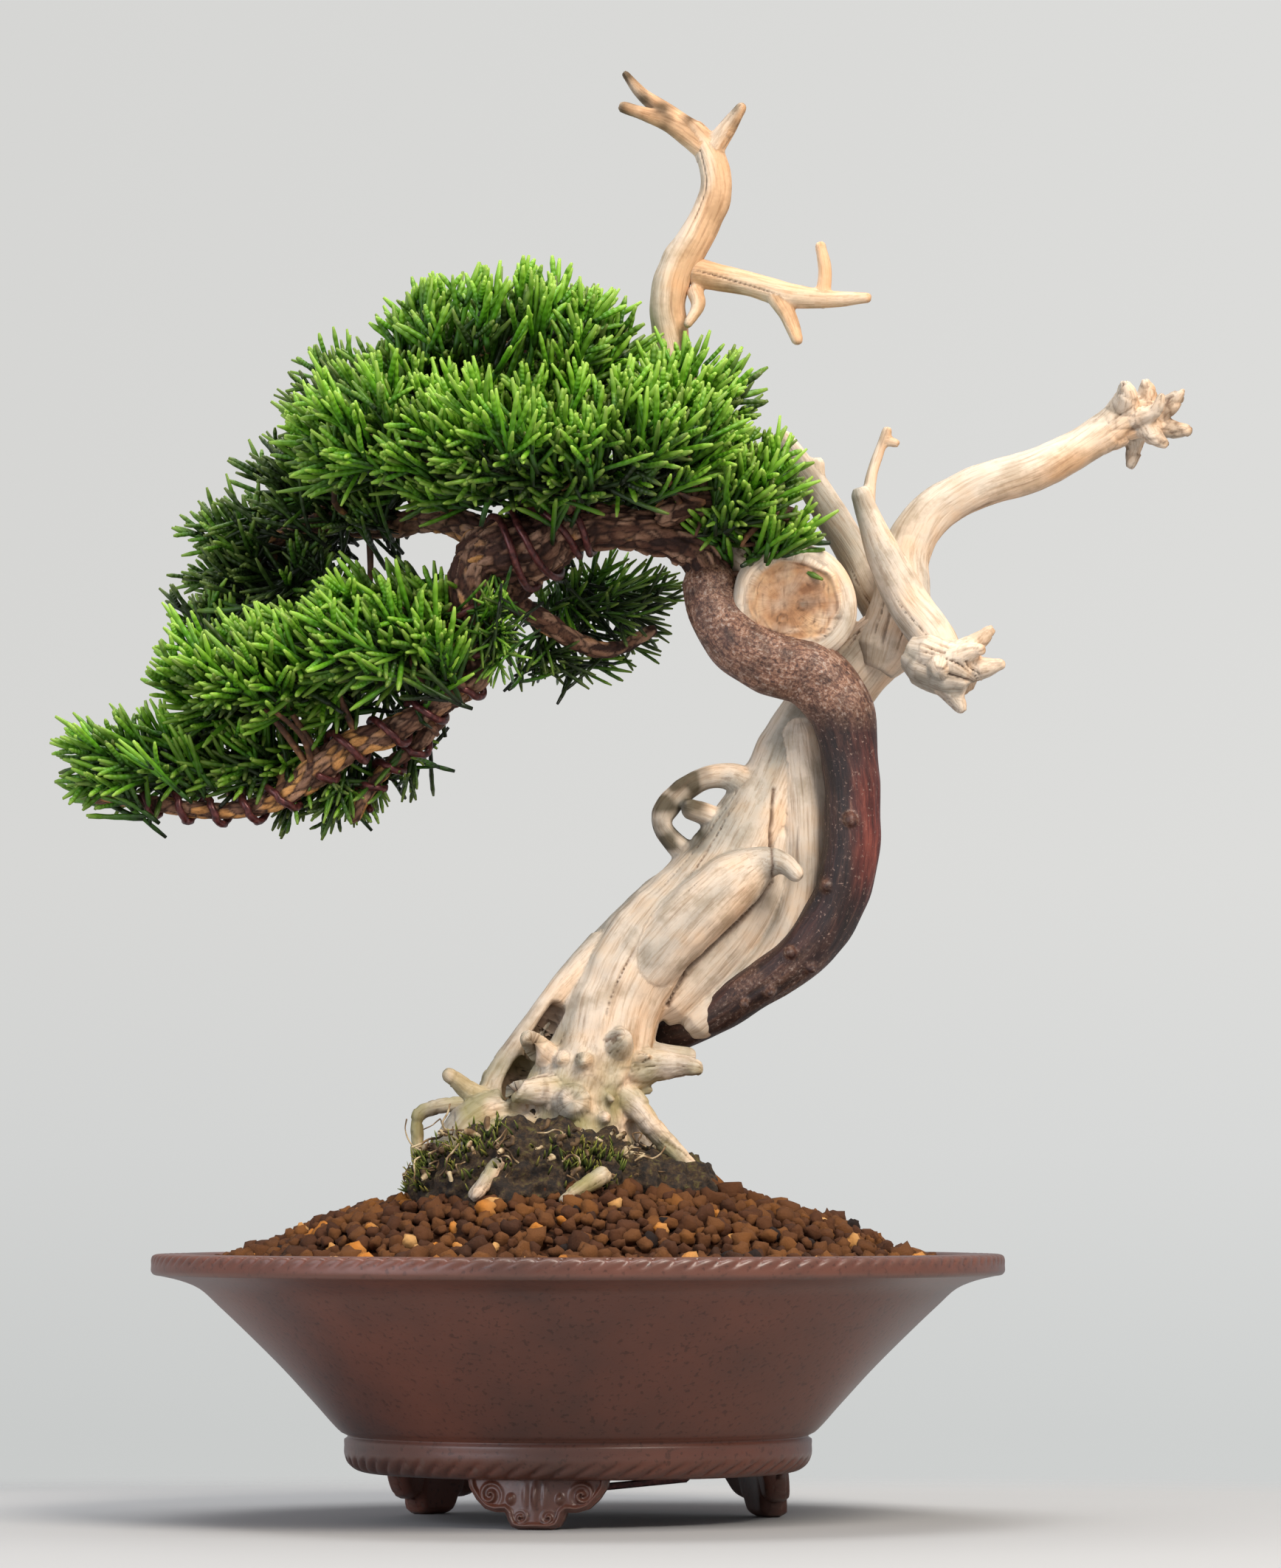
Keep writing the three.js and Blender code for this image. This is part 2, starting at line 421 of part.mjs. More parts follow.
// The pieces in the order in which they keep their shape: each is cut back, by the gap, from
// those above it that it meets.
const firm = [
  ['net_clip_wire', netClip, COPPERED],
  ['drain_net', drainNet, NET],
  ['tie_down_wire', tieWire, COPPERED],
  ['live_vein', (grow) => limb(LIVE_VEIN, grow, 10), VEIN],
  ...Object.entries(WIRES).map(([name, wire]) => (
    [name, (grow) => limb(winding(wire), grow, 5), COPPERED]
  )),
  ['main_branch', (grow) => limb(MAIN_BRANCH, grow, 9), BARK],
  ['lower_branch', (grow) => limb(LOWER_BRANCH, grow, 8), BARK],
  ['back_low_branch', limbs([BACK_LOW_BRANCH]), BARK],
  ['fork_branch', limbs([FORK_BRANCH]), BARK],
  ['apex_branch', limbs([APEX_BRANCH]), BARK],
  ['back_left_branch', limbs([BACK_LEFT_BRANCH]), BARK],
  ['right_branch', limbs([RIGHT_BRANCH]), BARK],
  ['front_branch', limbs([FRONT_BRANCH]), BARK],
  ['trunk_deadwood', (grow) => joined([
    limb(TRUNK, grow, 12),
    limbs([TRUNK_STRIP, TRUNK_HOOK, TRUNK_HOOK_STUB, TRUNK_FLAP], 7)(grow),
    limbs([TRUNK_WEB, TRUNK_EDGE, TRUNK_BACKING], 7)(grow),
    limbs(BASE_STUBS, 6)(grow), limbs([PRUNED_KNOB, PRUNED_ARM], 9)(grow),
  ]), BONE],
  ['jin_right', limbs([JIN_RIGHT, ...JIN_RIGHT_TIPS]), BONE],
  ['jin_front', limbs([JIN_FRONT, JIN_FRONT_TWIG]), BONE],
  ['jin_knot', limbs(KNOT, 7), BONE],
  ['jin_back', limbs([JIN_BACK, JIN_BACK_TWIG]), BONE],
  ['jin_top', limbs([JIN_TOP, ...JIN_TOP_TIPS]), BONE],
  ['jin_top_arm', limbs([JIN_TOP_ARM, ...JIN_TOP_ARM_TWIGS], 7), BONE],
  ...Object.entries(DEAD_ROOTS).map(([name, row]) => [name, limbs([row], 7), BONE]),
  ['root_mound', balls(ROOT_MOUND, 2), MUCK],
  ['soil', soil, GRAIN],
  ...Object.entries(MOSS).map(([name, spot]) => [name, moss(spot), MOSS_GREEN]),
];
const foliage = Object.entries(PADS).map(([name, rows]) => [name, balls(rows, 2), LEAF]);

const tree = new THREE.Group();
tree.add(toMesh('pot_bowl', potBowl(), CLAY));
for (const [name, degrees] of Object.entries(FOOT_TURNS)) tree.add(toMesh(name, foot(degrees), CLAY));

function addInTurn(pieces, taken) {
  for (const [name, shape, material] of pieces) {
    const cut = taken.reduce((left, other) => left.subtract(other), shape(0));
    tree.add(toMesh(name, largest(cut), material));
    taken.push(shape(GAP));
  }
}
addInTurn(firm, []);
const wood = firm.filter(([, , material]) => [BONE, VEIN, BARK].includes(material));
addInTurn(foliage, wood.map(([, shape]) => shape(LEAF_CLEAR)));

const box = new THREE.Box3().setFromObject(tree);
const middle = box.getCenter(new THREE.Vector3());
tree.position.set(-middle.x, -middle.y, -box.min.z);

export default tree;
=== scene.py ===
# A bonsai juniper in a round unglazed pot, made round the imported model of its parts. Each section
# below is one piece or one group of like pieces, in the order in which the tree is potted.
import math

import bpy
import numpy as np
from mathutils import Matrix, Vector, noise


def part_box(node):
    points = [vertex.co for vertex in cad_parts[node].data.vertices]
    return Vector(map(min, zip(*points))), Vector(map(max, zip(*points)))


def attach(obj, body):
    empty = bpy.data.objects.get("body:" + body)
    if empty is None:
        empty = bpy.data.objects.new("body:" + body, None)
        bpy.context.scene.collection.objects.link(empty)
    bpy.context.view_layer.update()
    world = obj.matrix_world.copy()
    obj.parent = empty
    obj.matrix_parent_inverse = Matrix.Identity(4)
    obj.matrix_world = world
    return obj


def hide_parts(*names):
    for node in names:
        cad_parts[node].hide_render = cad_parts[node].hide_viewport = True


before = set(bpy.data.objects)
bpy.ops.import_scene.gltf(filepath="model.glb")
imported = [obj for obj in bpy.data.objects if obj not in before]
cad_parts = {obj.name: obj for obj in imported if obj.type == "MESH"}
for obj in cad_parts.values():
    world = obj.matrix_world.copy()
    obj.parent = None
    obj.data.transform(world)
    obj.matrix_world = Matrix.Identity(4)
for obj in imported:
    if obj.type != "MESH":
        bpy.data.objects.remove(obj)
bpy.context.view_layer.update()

# ---------------------------------------------------------------------------------------------
# The studio: a sheet of pale grey paper under the pot, a bright even room, and a large soft light
# above, in front and to the right. Everything is drawn in millimetres about the pot's axis.
MM = 0.001
bowl_low, bowl_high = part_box("pot_bowl")
AXIS = np.array([(bowl_low.x + bowl_high.x) / 2, (bowl_low.y + bowl_high.y) / 2, 0.0])


def linear(code):
    """An sRGB hex colour as the linear one that shaders take."""
    parts = [int(code[i:i + 2], 16) / 255 for i in (1, 3, 5)]
    return tuple(p / 12.92 if p <= 0.04045 else ((p + 0.055) / 1.055) ** 2.4 for p in parts) + (1.0,)


def add(tree, kind, settings=None, inputs=None):
    """Adds a node with its settings and its inputs: numbers, hex colours, sockets or nodes. A node
    gives the first output that its settings leave in use."""
    node = tree.nodes.new("ShaderNode" + kind)
    for name, value in (settings or {}).items():
        if name == "stops":
            while len(node.color_ramp.elements) < len(value):
                node.color_ramp.elements.new(0.5)
            for stop, (place, code) in zip(node.color_ramp.elements, value):
                stop.position = place
                stop.color = linear(code)
        else:
            setattr(node, name, value)
    for name, value in (inputs or {}).items():
        if isinstance(value, bpy.types.Node):
            value = next(output for output in value.outputs if output.enabled)
        if isinstance(value, bpy.types.NodeSocket):
            tree.links.new(value, node.inputs[name])
        else:
            node.inputs[name].default_value = linear(value) if isinstance(value, str) else value
    return node


def blank(name):
    """A new material and its empty node tree."""
    made = bpy.data.materials.new(name)
    made.use_nodes = True
    made.node_tree.nodes.clear()
    return made, made.node_tree


def close(tree, shader):
    """Joins a shader to the material's output."""
    add(tree, "OutputMaterial", inputs={"Surface": shader}).is_active_output = True


def new_object(name, points, faces, smooth=True):
    """A mesh object from points in mm about the pot's axis."""
    mesh = bpy.data.meshes.new(name)
    mesh.from_pydata((np.asarray(points, float) * MM + AXIS).tolist(), [], faces)
    mesh.update()
    if smooth:
        mesh.shade_smooth()
    made = bpy.data.objects.new(name, mesh)
    bpy.context.scene.collection.objects.link(made)
    return made


def place(made, material, slot, *nodes):
    """Gives a finished piece its material, hides the CAD nodes it stands for and joins it to its body. Its
    slot is not used.
    """
    made.data.materials.clear()
    made.data.materials.append(material)
    if nodes:
        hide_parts(*nodes)
    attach(made, "root")


scene = bpy.context.scene
scene.view_settings.view_transform = "Standard"

room = bpy.data.worlds.new("studio_room")
scene.world = room
room.use_nodes = True
tree = room.node_tree
tree.nodes.clear()
toward = add(tree, "TexCoord").outputs["Generated"]
parts = add(tree, "SeparateXYZ", inputs={0: toward})
# What is seen of the room is a little darker low down and to the left; its light is even.
climb = add(tree, "MapRange", inputs={"Value": parts.outputs["Z"], "From Min": -0.035, "From Max": 0.1})
fall = add(tree, "ValToRGB", {"stops": [(0.0, "#cccecd"), (0.3, "#d5d6d5"), (0.6, "#dadad8"),
                                        (1.0, "#d9d9d7")]}, {"Fac": climb})
sideways = add(tree, "MapRange", inputs={"Value": parts.outputs["X"], "From Min": -0.1, "From Max": 0.1,
                                         "To Min": 0.965, "To Max": 1.035})
seen = add(tree, "Background", inputs={"Color": fall, "Strength": sideways})
lit = add(tree, "Background", inputs={"Color": "#f2f4f8", "Strength": 0.5})
ray = add(tree, "LightPath")
both = add(tree, "MixShader", inputs={0: ray.outputs["Is Camera Ray"], 1: lit, 2: seen})
add(tree, "OutputWorld", inputs={"Surface": both})

LIGHTS = {  # place in mm, side in mm, watts, colour
    "key_softbox": ((520, -760, 900), 520, 17.0, "#fff6ea"),
    "fill_softbox": ((-900, -700, 420), 800, 6.0, "#eef3ff"),
    "top_softbox": ((-60, 120, 1000), 600, 7.0, "#ffffff"),
}
aim = np.array([10.0, 0.0, 130.0])
for name, (spot, side, watts, tint) in LIGHTS.items():
    lamp = bpy.data.lights.new(name, "AREA")
    lamp.shape = "SQUARE"
    lamp.size = side * MM
    lamp.energy = watts
    lamp.color = linear(tint)[:3]
    holder = bpy.data.objects.new(name, lamp)
    holder.location = Vector(np.array(spot, float) * MM + AXIS)
    holder.rotation_euler = Vector(aim - spot).to_track_quat("-Z", "Y").to_euler()
    scene.collection.objects.link(holder)

# The paper fades out softly into the room at its far edge, as where a backdrop sweeps up.
PAPER_CENTRE = (0.0, -330.0)
PAPER_R = 560.0
PAPER_SOLID = 450.0
PAPER_SIDES = 96
turns = np.linspace(0, 2 * math.pi, PAPER_SIDES, endpoint=False)
paper_points = [[PAPER_CENTRE[0] + PAPER_R * math.cos(a), PAPER_CENTRE[1] + PAPER_R * math.sin(a), 0.0]
                for a in turns]
paper = new_object("paper_floor", paper_points, [list(range(PAPER_SIDES))], smooth=False)
paper_white, tree = blank("matt_paper")  # seamless paper: even, with no gloss
where = add(tree, "NewGeometry").outputs["Position"]
from_centre = add(tree, "VectorMath", {"operation": "DISTANCE"}, {
    0: where, 1: (AXIS[0] + PAPER_CENTRE[0] * MM, AXIS[1] + PAPER_CENTRE[1] * MM, 0.0)})
fade = add(tree, "MapRange", {"interpolation_type": "SMOOTHSTEP"}, {
    "Value": from_centre.outputs["Value"], "From Min": PAPER_SOLID * MM,
    "From Max": PAPER_R * MM * 0.97})
sheet = add(tree, "BsdfPrincipled", inputs={"Base Color": "#a8a8a8", "Roughness": 0.85,
                                            "Specular IOR Level": 0.2})
clear = add(tree, "BsdfTransparent")
faded = add(tree, "MixShader", inputs={0: fade, 1: sheet, 2: clear})
close(tree, faded)
paper.data.materials.append(paper_white)

# The camera looks level with the pot from far off, and a little up, so the tree's outline is true.
CAMERA_AWAY = 1300.0
CAMERA_HEIGHT = 62.0
CAMERA_LEFT_RIGHT = 11.7
CAMERA_TILT = math.radians(3.35)
CAMERA_LENS = 158.6
camera = bpy.data.objects.new("camera", bpy.data.cameras.new("camera"))
camera.data.lens = CAMERA_LENS
camera.data.sensor_width = 36.0
camera.data.clip_start = 0.05
camera.data.clip_end = 20.0
camera.location = Vector(np.array([CAMERA_LEFT_RIGHT, -CAMERA_AWAY, CAMERA_HEIGHT]) * MM + AXIS)
camera.rotation_euler = (math.pi / 2 + CAMERA_TILT, 0.0, 0.0)
scene.collection.objects.link(camera)
scene.camera = camera

# ---------------------------------------------------------------------------------------------
# The pot's bowl: red-brown stoneware, thrown on a wheel, its flaring wall burnished smooth. A
# roulette has pressed rope patterns round the rim's upper edge and the foot ring's lower edge.
RIM_R = (bowl_high.x - bowl_low.x) / 2 / MM
RIM_TOP = bowl_high.z / MM
INNER_RIM = RIM_R - 7
RING_R = 43.8
RING_TOP = 15.6
RING_BOTTOM = bowl_low.z / MM
RIM_ROPE_PITCH = 4.12
RING_ROPE_PITCH = 4.4
RIM_ROPES = round(2 * math.pi * RIM_R / RIM_ROPE_PITCH)
RING_ROPES = round(2 * math.pi * RING_R / RING_ROPE_PITCH)
POINTS_PER_ROPE = 7


def smooth_row(row, step):
    """Points about every `step` along a centripetal Catmull-Rom curve through a row of points.
    The columns past the third, such as a diameter, are carried along."""
    row = np.array(row, float)
    ends = np.vstack([2 * row[0] - row[1], row, 2 * row[-1] - row[-2]])
    made = [row[:1]]
    for a, b, c, d in zip(ends, ends[1:], ends[2:], ends[3:]):
        g0, g1, g2 = [max(np.linalg.norm((q - p)[:3]) ** 0.5, 1e-3) for p, q in ((a, b), (b, c), (c, d))]
        out = g1 * ((b - a) / g0 - (c - a) / (g0 + g1) + (c - b) / g1)
        into = g1 * ((c - b) / g1 - (d - b) / (g1 + g2) + (d - c) / g2)
        count = max(1, int(np.linalg.norm((c - b)[:3]) / step))
        t = (np.arange(1, count + 1) / count)[:, None]
        made.append(b + out * t + (3 * (c - b) - 2 * out - into) * t ** 2
                    + (2 * (b - c) + out + into) * t ** 3)
    return np.vstack(made)


def turned(profile, segments, shape=None):
    """Points and faces of a profile of [radius, height] turned round the axis. `shape` may move
    them: it takes the angle, radius and height of every point, and gives a new radius and height."""
    angle, radius = np.meshgrid(np.arange(segments) * 2 * math.pi / segments, profile[:, 0], indexing="ij")
    height = np.tile(profile[:, 1], (segments, 1))
    if shape:
        radius, height = shape(angle, radius, height)
    points = np.stack([radius * np.cos(angle), radius * np.sin(angle), height], -1).reshape(-1, 3)
    count = len(profile)
    faces = [[i * count + j, (i + 1) % segments * count + j, (i + 1) % segments * count + j + 1,
              i * count + j + 1] for i in range(segments) for j in range(count - 1)]
    return points, faces


def bell(distance, width):
    """1 at no distance, falling smoothly to 0 at `width`."""
    near = np.clip(1 - np.abs(distance) / width, 0, 1)
    return near * near * (3 - 2 * near)


def rope_edges(angle, radius, height):
    """Presses the two rope patterns in."""
    lean = (RIM_TOP - height) / 3.2
    lobe = np.abs(np.sin(math.pi * (angle * RIM_ROPES / (2 * math.pi) + lean)))
    reach = np.clip(1 - (RIM_TOP - height) / 1.9, 0, 1) * (radius > RIM_R - 2.4)
    pressed = 0.75 * (1 - lobe ** 0.55) * reach ** 0.6
    lean = (height - RING_BOTTOM) / 3.0
    lobe = np.abs(np.sin(math.pi * (angle * RING_ROPES / (2 * math.pi) - lean)))
    reach = bell(height - 10.6, 2.0) * (radius > 38) * (height < 13)
    notched = 0.85 * (1 - lobe ** 0.6) * reach
    return radius - pressed - notched, height - pressed * 0.55 + notched * 0.3


flare = smooth_row([[RING_R - 0.6, RING_TOP + 0.3], [44.4, 16.5], [49.5, 22], [55, 28], [61, 34],
                    [67.3, 40], [71, 43.3], [74.6, 44.8], [78.4, 45.7]], 1.2)
band = smooth_row([[78.4, 45.7], [79.5, 45.9], [RIM_R, 46.5], [RIM_R, 47.6], [RIM_R, 48.8],
                   [RIM_R - 0.25, 49.4], [RIM_R - 0.9, RIM_TOP], [RIM_R - 2.4, RIM_TOP],
                   [INNER_RIM + 0.7, RIM_TOP], [INNER_RIM, RIM_TOP - 0.6], [INNER_RIM, 47.2]], 0.28)
inside = smooth_row([[INNER_RIM, 47.2], [71.5, 45.6], [59.4, 38], [44.8, 22.5], [36, 16.2], [31, 15.5],
                     [7, 15.5]], 4.0)
ring = smooth_row([[7, 10.6], [35.3, 10.6], [36.8, 9.1], [39.6, RING_BOTTOM], [41.6, 9.5], [43.1, 10.7],
                   [RING_R, 12.4], [RING_R, 14.2], [RING_R, 15.2], [RING_R - 0.6, RING_TOP]], 0.45)
profile = np.vstack([ring, flare, band[1:], inside[1:], ring[:1]])
points, faces = turned(profile, RIM_ROPES * POINTS_PER_ROPE, rope_edges)
bowl = new_object("bowl_stoneware", points, faces)

# Unglazed stoneware, burnished: satin, red-brown where the kiln was hottest and greyer elsewhere,
# with fine dark and pale specks. The kiln's flushes are 45 mm across, and the clay's grit is 0.4 mm.
stoneware, tree = blank("burnished_stoneware")
where = add(tree, "TexCoord").outputs["Object"]
flush = add(tree, "TexNoise", inputs={"Vector": where, "Scale": 1 / (45.5 * MM), "Detail": 4.0,
                                      "Roughness": 0.6})
body = add(tree, "ValToRGB", {"stops": [(0.3, "#402d28"), (0.5, "#5f382c"), (0.68, "#6e3f30")]},
           {"Fac": flush})
specks = add(tree, "TexNoise", inputs={"Vector": where, "Scale": 1 / (2.5 * 0.4 * MM), "Detail": 2.0})
speck_tone = add(tree, "ValToRGB", {"stops": [(0.32, "#b0a8a0"), (0.42, "#ffffff"), (0.66, "#ffffff"),
                                              (0.76, "#ffe6d4")]}, {"Fac": specks})
speckled = add(tree, "Mix", {"data_type": "RGBA", "blend_type": "MULTIPLY"},
               {0: 0.75, 6: body, 7: speck_tone})
worn = add(tree, "NewGeometry").outputs["Pointiness"]
edges = add(tree, "MapRange", inputs={"Value": worn, "From Min": 0.5, "From Max": 0.58})
rubbed = add(tree, "Mix", {"data_type": "RGBA"}, {0: edges, 6: speckled, 7: "#60443a"})
gloss = add(tree, "MapRange", inputs={"Value": flush, "To Min": 0.3, "To Max": 0.42})
grit = add(tree, "Bump", inputs={"Strength": 0.14, "Distance": 0.2 * MM, "Height": specks})
clay = add(tree, "BsdfPrincipled", inputs={
    "Base Color": rubbed, "Roughness": gloss, "Normal": grit,
    "IOR": 1.5, "Specular IOR Level": 0.55})
close(tree, clay)
place(bowl, stoneware, "clay", "pot_bowl")

# ---------------------------------------------------------------------------------------------
# The three feet: slabs of the same clay, cut to a scrolled outline, carved with two scrolls above,
# two curls on the lobe and flutes between, and luted under the foot ring before firing.
FOOT_TOP = RING_BOTTOM + 0.35
FOOT_PLAN_R = 40.5
FOOT_HALF = 13.0
FOOT_OUTLINE = [[0, 0], [3, 0], [4.4, 0.5], [5.2, 1.8], [5.7, 3.1], [7.6, 3.1], [9.6, 3.7], [11.4, 5.4],
                [12.8, 7.6], [13.1, FOOT_TOP]]
FOOT_TURNS = {"foot_front": -101, "foot_back_left": 139, "foot_back_right": 19}
COLUMNS = 150
ROWS = 52
OUTSIDE, INSIDE = 1, -1


def scroll(across, up, middle, size, hand, winds):
    """How near each point is to the ridge of a spiral: 1 on it, 0 between its turns."""
    dx, dz = (across - middle[0]) * hand, up - middle[1]
    distance = np.hypot(dx, dz)
    spiral = distance / size * winds - np.arctan2(dz, dx) / (2 * math.pi)
    ridge = 0.5 + 0.5 * np.cos(2 * math.pi * spiral)
    return ridge ** 1.5 * bell(distance, size * 1.25)


def foot(degrees):
    """Points and faces of one foot: a front and a back sheet of points joined round their edge."""
    outline = np.array(FOOT_OUTLINE, float)
    u = np.linspace(-FOOT_HALF, FOOT_HALF, COLUMNS)
    bottom = np.interp(np.abs(u), outline[:, 0], outline[:, 1])
    share = np.linspace(0, 1, ROWS)[None, :]
    up = bottom[:, None] + (FOOT_TOP - bottom[:, None]) * share
    across = np.repeat(u[:, None], ROWS, 1)
    dense = smooth_row(outline, 0.25)
    dense = np.vstack([dense, dense * [-1, 1]])
    gaps = np.hypot(across[..., None] - dense[:, 0], up[..., None] - dense[:, 1]).min(-1)
    round_off = np.sqrt(np.clip(1 - (1 - np.clip(gaps / 1.5, 0, 1)) ** 2, 0, 1))
    relief = 0.9 * bell(gaps - 0.8, 0.75)
    for hand in (1, -1):
        relief = np.maximum(relief, 1.1 * scroll(across, up, (hand * 8.6, 6.3), 2.6, hand, 1.6))
        relief = np.maximum(relief, 0.9 * scroll(across, up, (hand * 2.5, 2.2), 1.5, -hand, 1.3))
        relief = np.maximum(relief, 0.8 * bell(np.hypot(across - hand * 4.6, (up - 5.6) * 0.8), 1.1))
    flutes = (0.5 + 0.5 * np.cos(across * 2 * math.pi / 2.0)) * bell(across, 3.6) * bell(up - 6.2, 3.0)
    relief = np.maximum(relief, 0.8 * flutes)
    bulge = 1.1 * np.clip(1 - up / 9, 0, 1) + 0.6 * np.clip(1 - np.abs(across) / 9, 0, 1)
    curve = FOOT_PLAN_R - np.sqrt((FOOT_PLAN_R + 2) ** 2 - across ** 2) + 2
    depth = 3.4 + 1.6 * share
    sheets = []
    for side in (OUTSIDE, INSIDE):
        if side == OUTSIDE:
            out = FOOT_PLAN_R - 1.8 - curve + (bulge + relief - 0.2) * round_off
        else:
            out = FOOT_PLAN_R - 1.8 - curve - depth * (0.3 + 0.7 * round_off)
        sheets.append(np.stack([across, -out, up], -1).reshape(-1, 3))
    count = COLUMNS * ROWS
    faces = []
    for i in range(COLUMNS - 1):
        for j in range(ROWS - 1):
            a, b, c, d = i * ROWS + j, (i + 1) * ROWS + j, (i + 1) * ROWS + j + 1, i * ROWS + j + 1
            faces += [[a, b, c, d], [count + d, count + c, count + b, count + a]]
    edge = ([i * ROWS for i in range(COLUMNS)] + [(COLUMNS - 1) * ROWS + j for j in range(1, ROWS)]
            + [i * ROWS + ROWS - 1 for i in range(COLUMNS - 2, -1, -1)] + list(range(ROWS - 2, 0, -1)))
    faces += [[b, a, count + a, count + b] for a, b in zip(edge, edge[1:] + edge[:1])]
    turn = math.radians(degrees + 90)
    spin = np.array([[math.cos(turn), math.sin(turn), 0], [-math.sin(turn), math.cos(turn), 0], [0, 0, 1]])
    return np.vstack(sheets) @ spin, faces


for name, degrees in FOOT_TURNS.items():
    carved = new_object(name + "_carved", *foot(degrees))
    place(carved, stoneware, "clay", name)

# ---------------------------------------------------------------------------------------------
# Under the soil: plastic net over the drain hole, a copper-coloured wire clip that holds it, and
# the wire that ties the tree in. They keep their shape from the CAD and get their real finish.
net_plastic, tree = blank("extruded_polyethylene_net")  # dull black, with flow lines 1.1 mm apart
where = add(tree, "TexCoord").outputs["Object"]
flow = add(tree, "TexNoise", inputs={"Vector": where, "Scale": 1 / (1.11 * MM), "Detail": 3.0})
black = add(tree, "ValToRGB", {"stops": [(0.35, "#191b19"), (0.7, "#2a2d29")]}, {"Fac": flow})
dull = add(tree, "BsdfPrincipled", inputs={"Base Color": black, "Roughness": 0.55, "IOR": 1.5})
close(tree, dull)

# Annealed aluminium wire with a brown anodised skin, gone dark red-brown on the tree: semi-gloss,
# rubbed paler in fine scratches along it, about 0.3 mm apart.
wire_metal, tree = blank("brown_anodised_aluminium_wire")
where = add(tree, "TexCoord").outputs["Object"]
wear = add(tree, "TexNoise", inputs={"Vector": where, "Scale": 1 / (0.9 * MM), "Detail": 4.0})
browned = add(tree, "ValToRGB", {"stops": [(0.3, "#33191a"), (0.52, "#5a2c2b"), (0.72, "#7c4541")]},
              {"Fac": wear})
scratch = add(tree, "Bump", inputs={"Strength": 0.2, "Distance": 0.06 * MM, "Height": wear})
skin = add(tree, "BsdfPrincipled", inputs={
    "Base Color": browned, "Metallic": 0.35, "Roughness": 0.36,
    "Normal": scratch})
close(tree, skin)
for name, finish in {"drain_net": net_plastic, "net_clip_wire": wire_metal,
                     "tie_down_wire": wire_metal}.items():
    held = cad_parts[name]
    held.data.materials.clear()
    held.data.materials.append(finish)

# ---------------------------------------------------------------------------------------------
# The dead wood: juniper heartwood, stripped of bark, carved and bleached with lime sulphur. The
# trunk and every jin are grown here as overlapping limbs, melted into one skin, and then grooved
# and cracked along their grain. A limb is a row of [x, y, z, diameter] down its middle.
TRUNK = [[-2, 0, 47, 27], [-2, 0, 60, 30], [-2, 0, 70, 28], [-0.5, 0, 79, 24], [3.5, 0.5, 88, 20.5],
         [6, 1, 96, 19.5], [10, 1.5, 103, 19.5], [16, 2, 110.5, 18.5], [23, 2.5, 117, 17.5],
         [28.5, 3, 123.5, 17], [33, 3.5, 130.5, 15.5], [36.8, 4.5, 138, 13], [41, 7, 147, 12],
         [48.5, 9, 156, 13], [55, 7, 163, 13], [60, 4, 168, 11]]
TRUNK_STRIP = [[5, 0, 107, 8], [0.5, -2, 103, 6.4], [-3, -3, 99.5, 5.4], [-6, -3.5, 95.7, 5],
               [-9.4, -3.5, 91, 5.2], [-12.7, -3.5, 86, 5.8], [-15.3, -3.5, 81, 6.6], [-16, -3, 73, 8]]
TRUNK_HOOK = [[33, 3, 137, 8.4], [28.5, 3, 139.6, 5.4], [23.5, 3, 139.2, 4.4], [19.4, 3, 136.6, 4.8],
              [15.9, 3, 132.4, 4.6], [15.9, 3, 130.2, 3.8], [19.4, 3, 126, 4.6], [25, 3, 122, 5.4]]
TRUNK_HOOK_STUB = [[29, 2, 129.5, 5], [24.6, 1.5, 132.2, 4.4], [20.8, 0, 133.4, 4]]
TRUNK_FLAP = [[4, -0.4, 92, 10], [11, -1.6, 102, 12.4], [18, -3.3, 109.3, 13], [25, -4.9, 115.7, 12.4],
              [31, -6, 120.5, 10.5], [35.2, -7.5, 122.8, 6.5], [38.5, -9.5, 122.6, 4.2],
              [41, -11, 120.4, 3.2]]
TRUNK_WEB = [[17, 2, 97, 10], [24, 2, 104, 11], [30.5, 2, 111, 11], [35, 2, 119, 11],
             [37.5, 2.5, 128, 10]]
TRUNK_EDGE = [[22, 2, 93, 7], [31, 1.5, 100.5, 7.6], [38, 1, 108, 8.4], [41.8, 1, 117, 9],
              [42.6, 1, 128, 9], [42.6, 2, 138, 9], [42, 3, 147, 8]]
TRUNK_BACKING = [[3, 4, 101, 8], [-3, 4, 93, 8], [-8, 3, 84, 9], [-10, 2, 74, 10]]
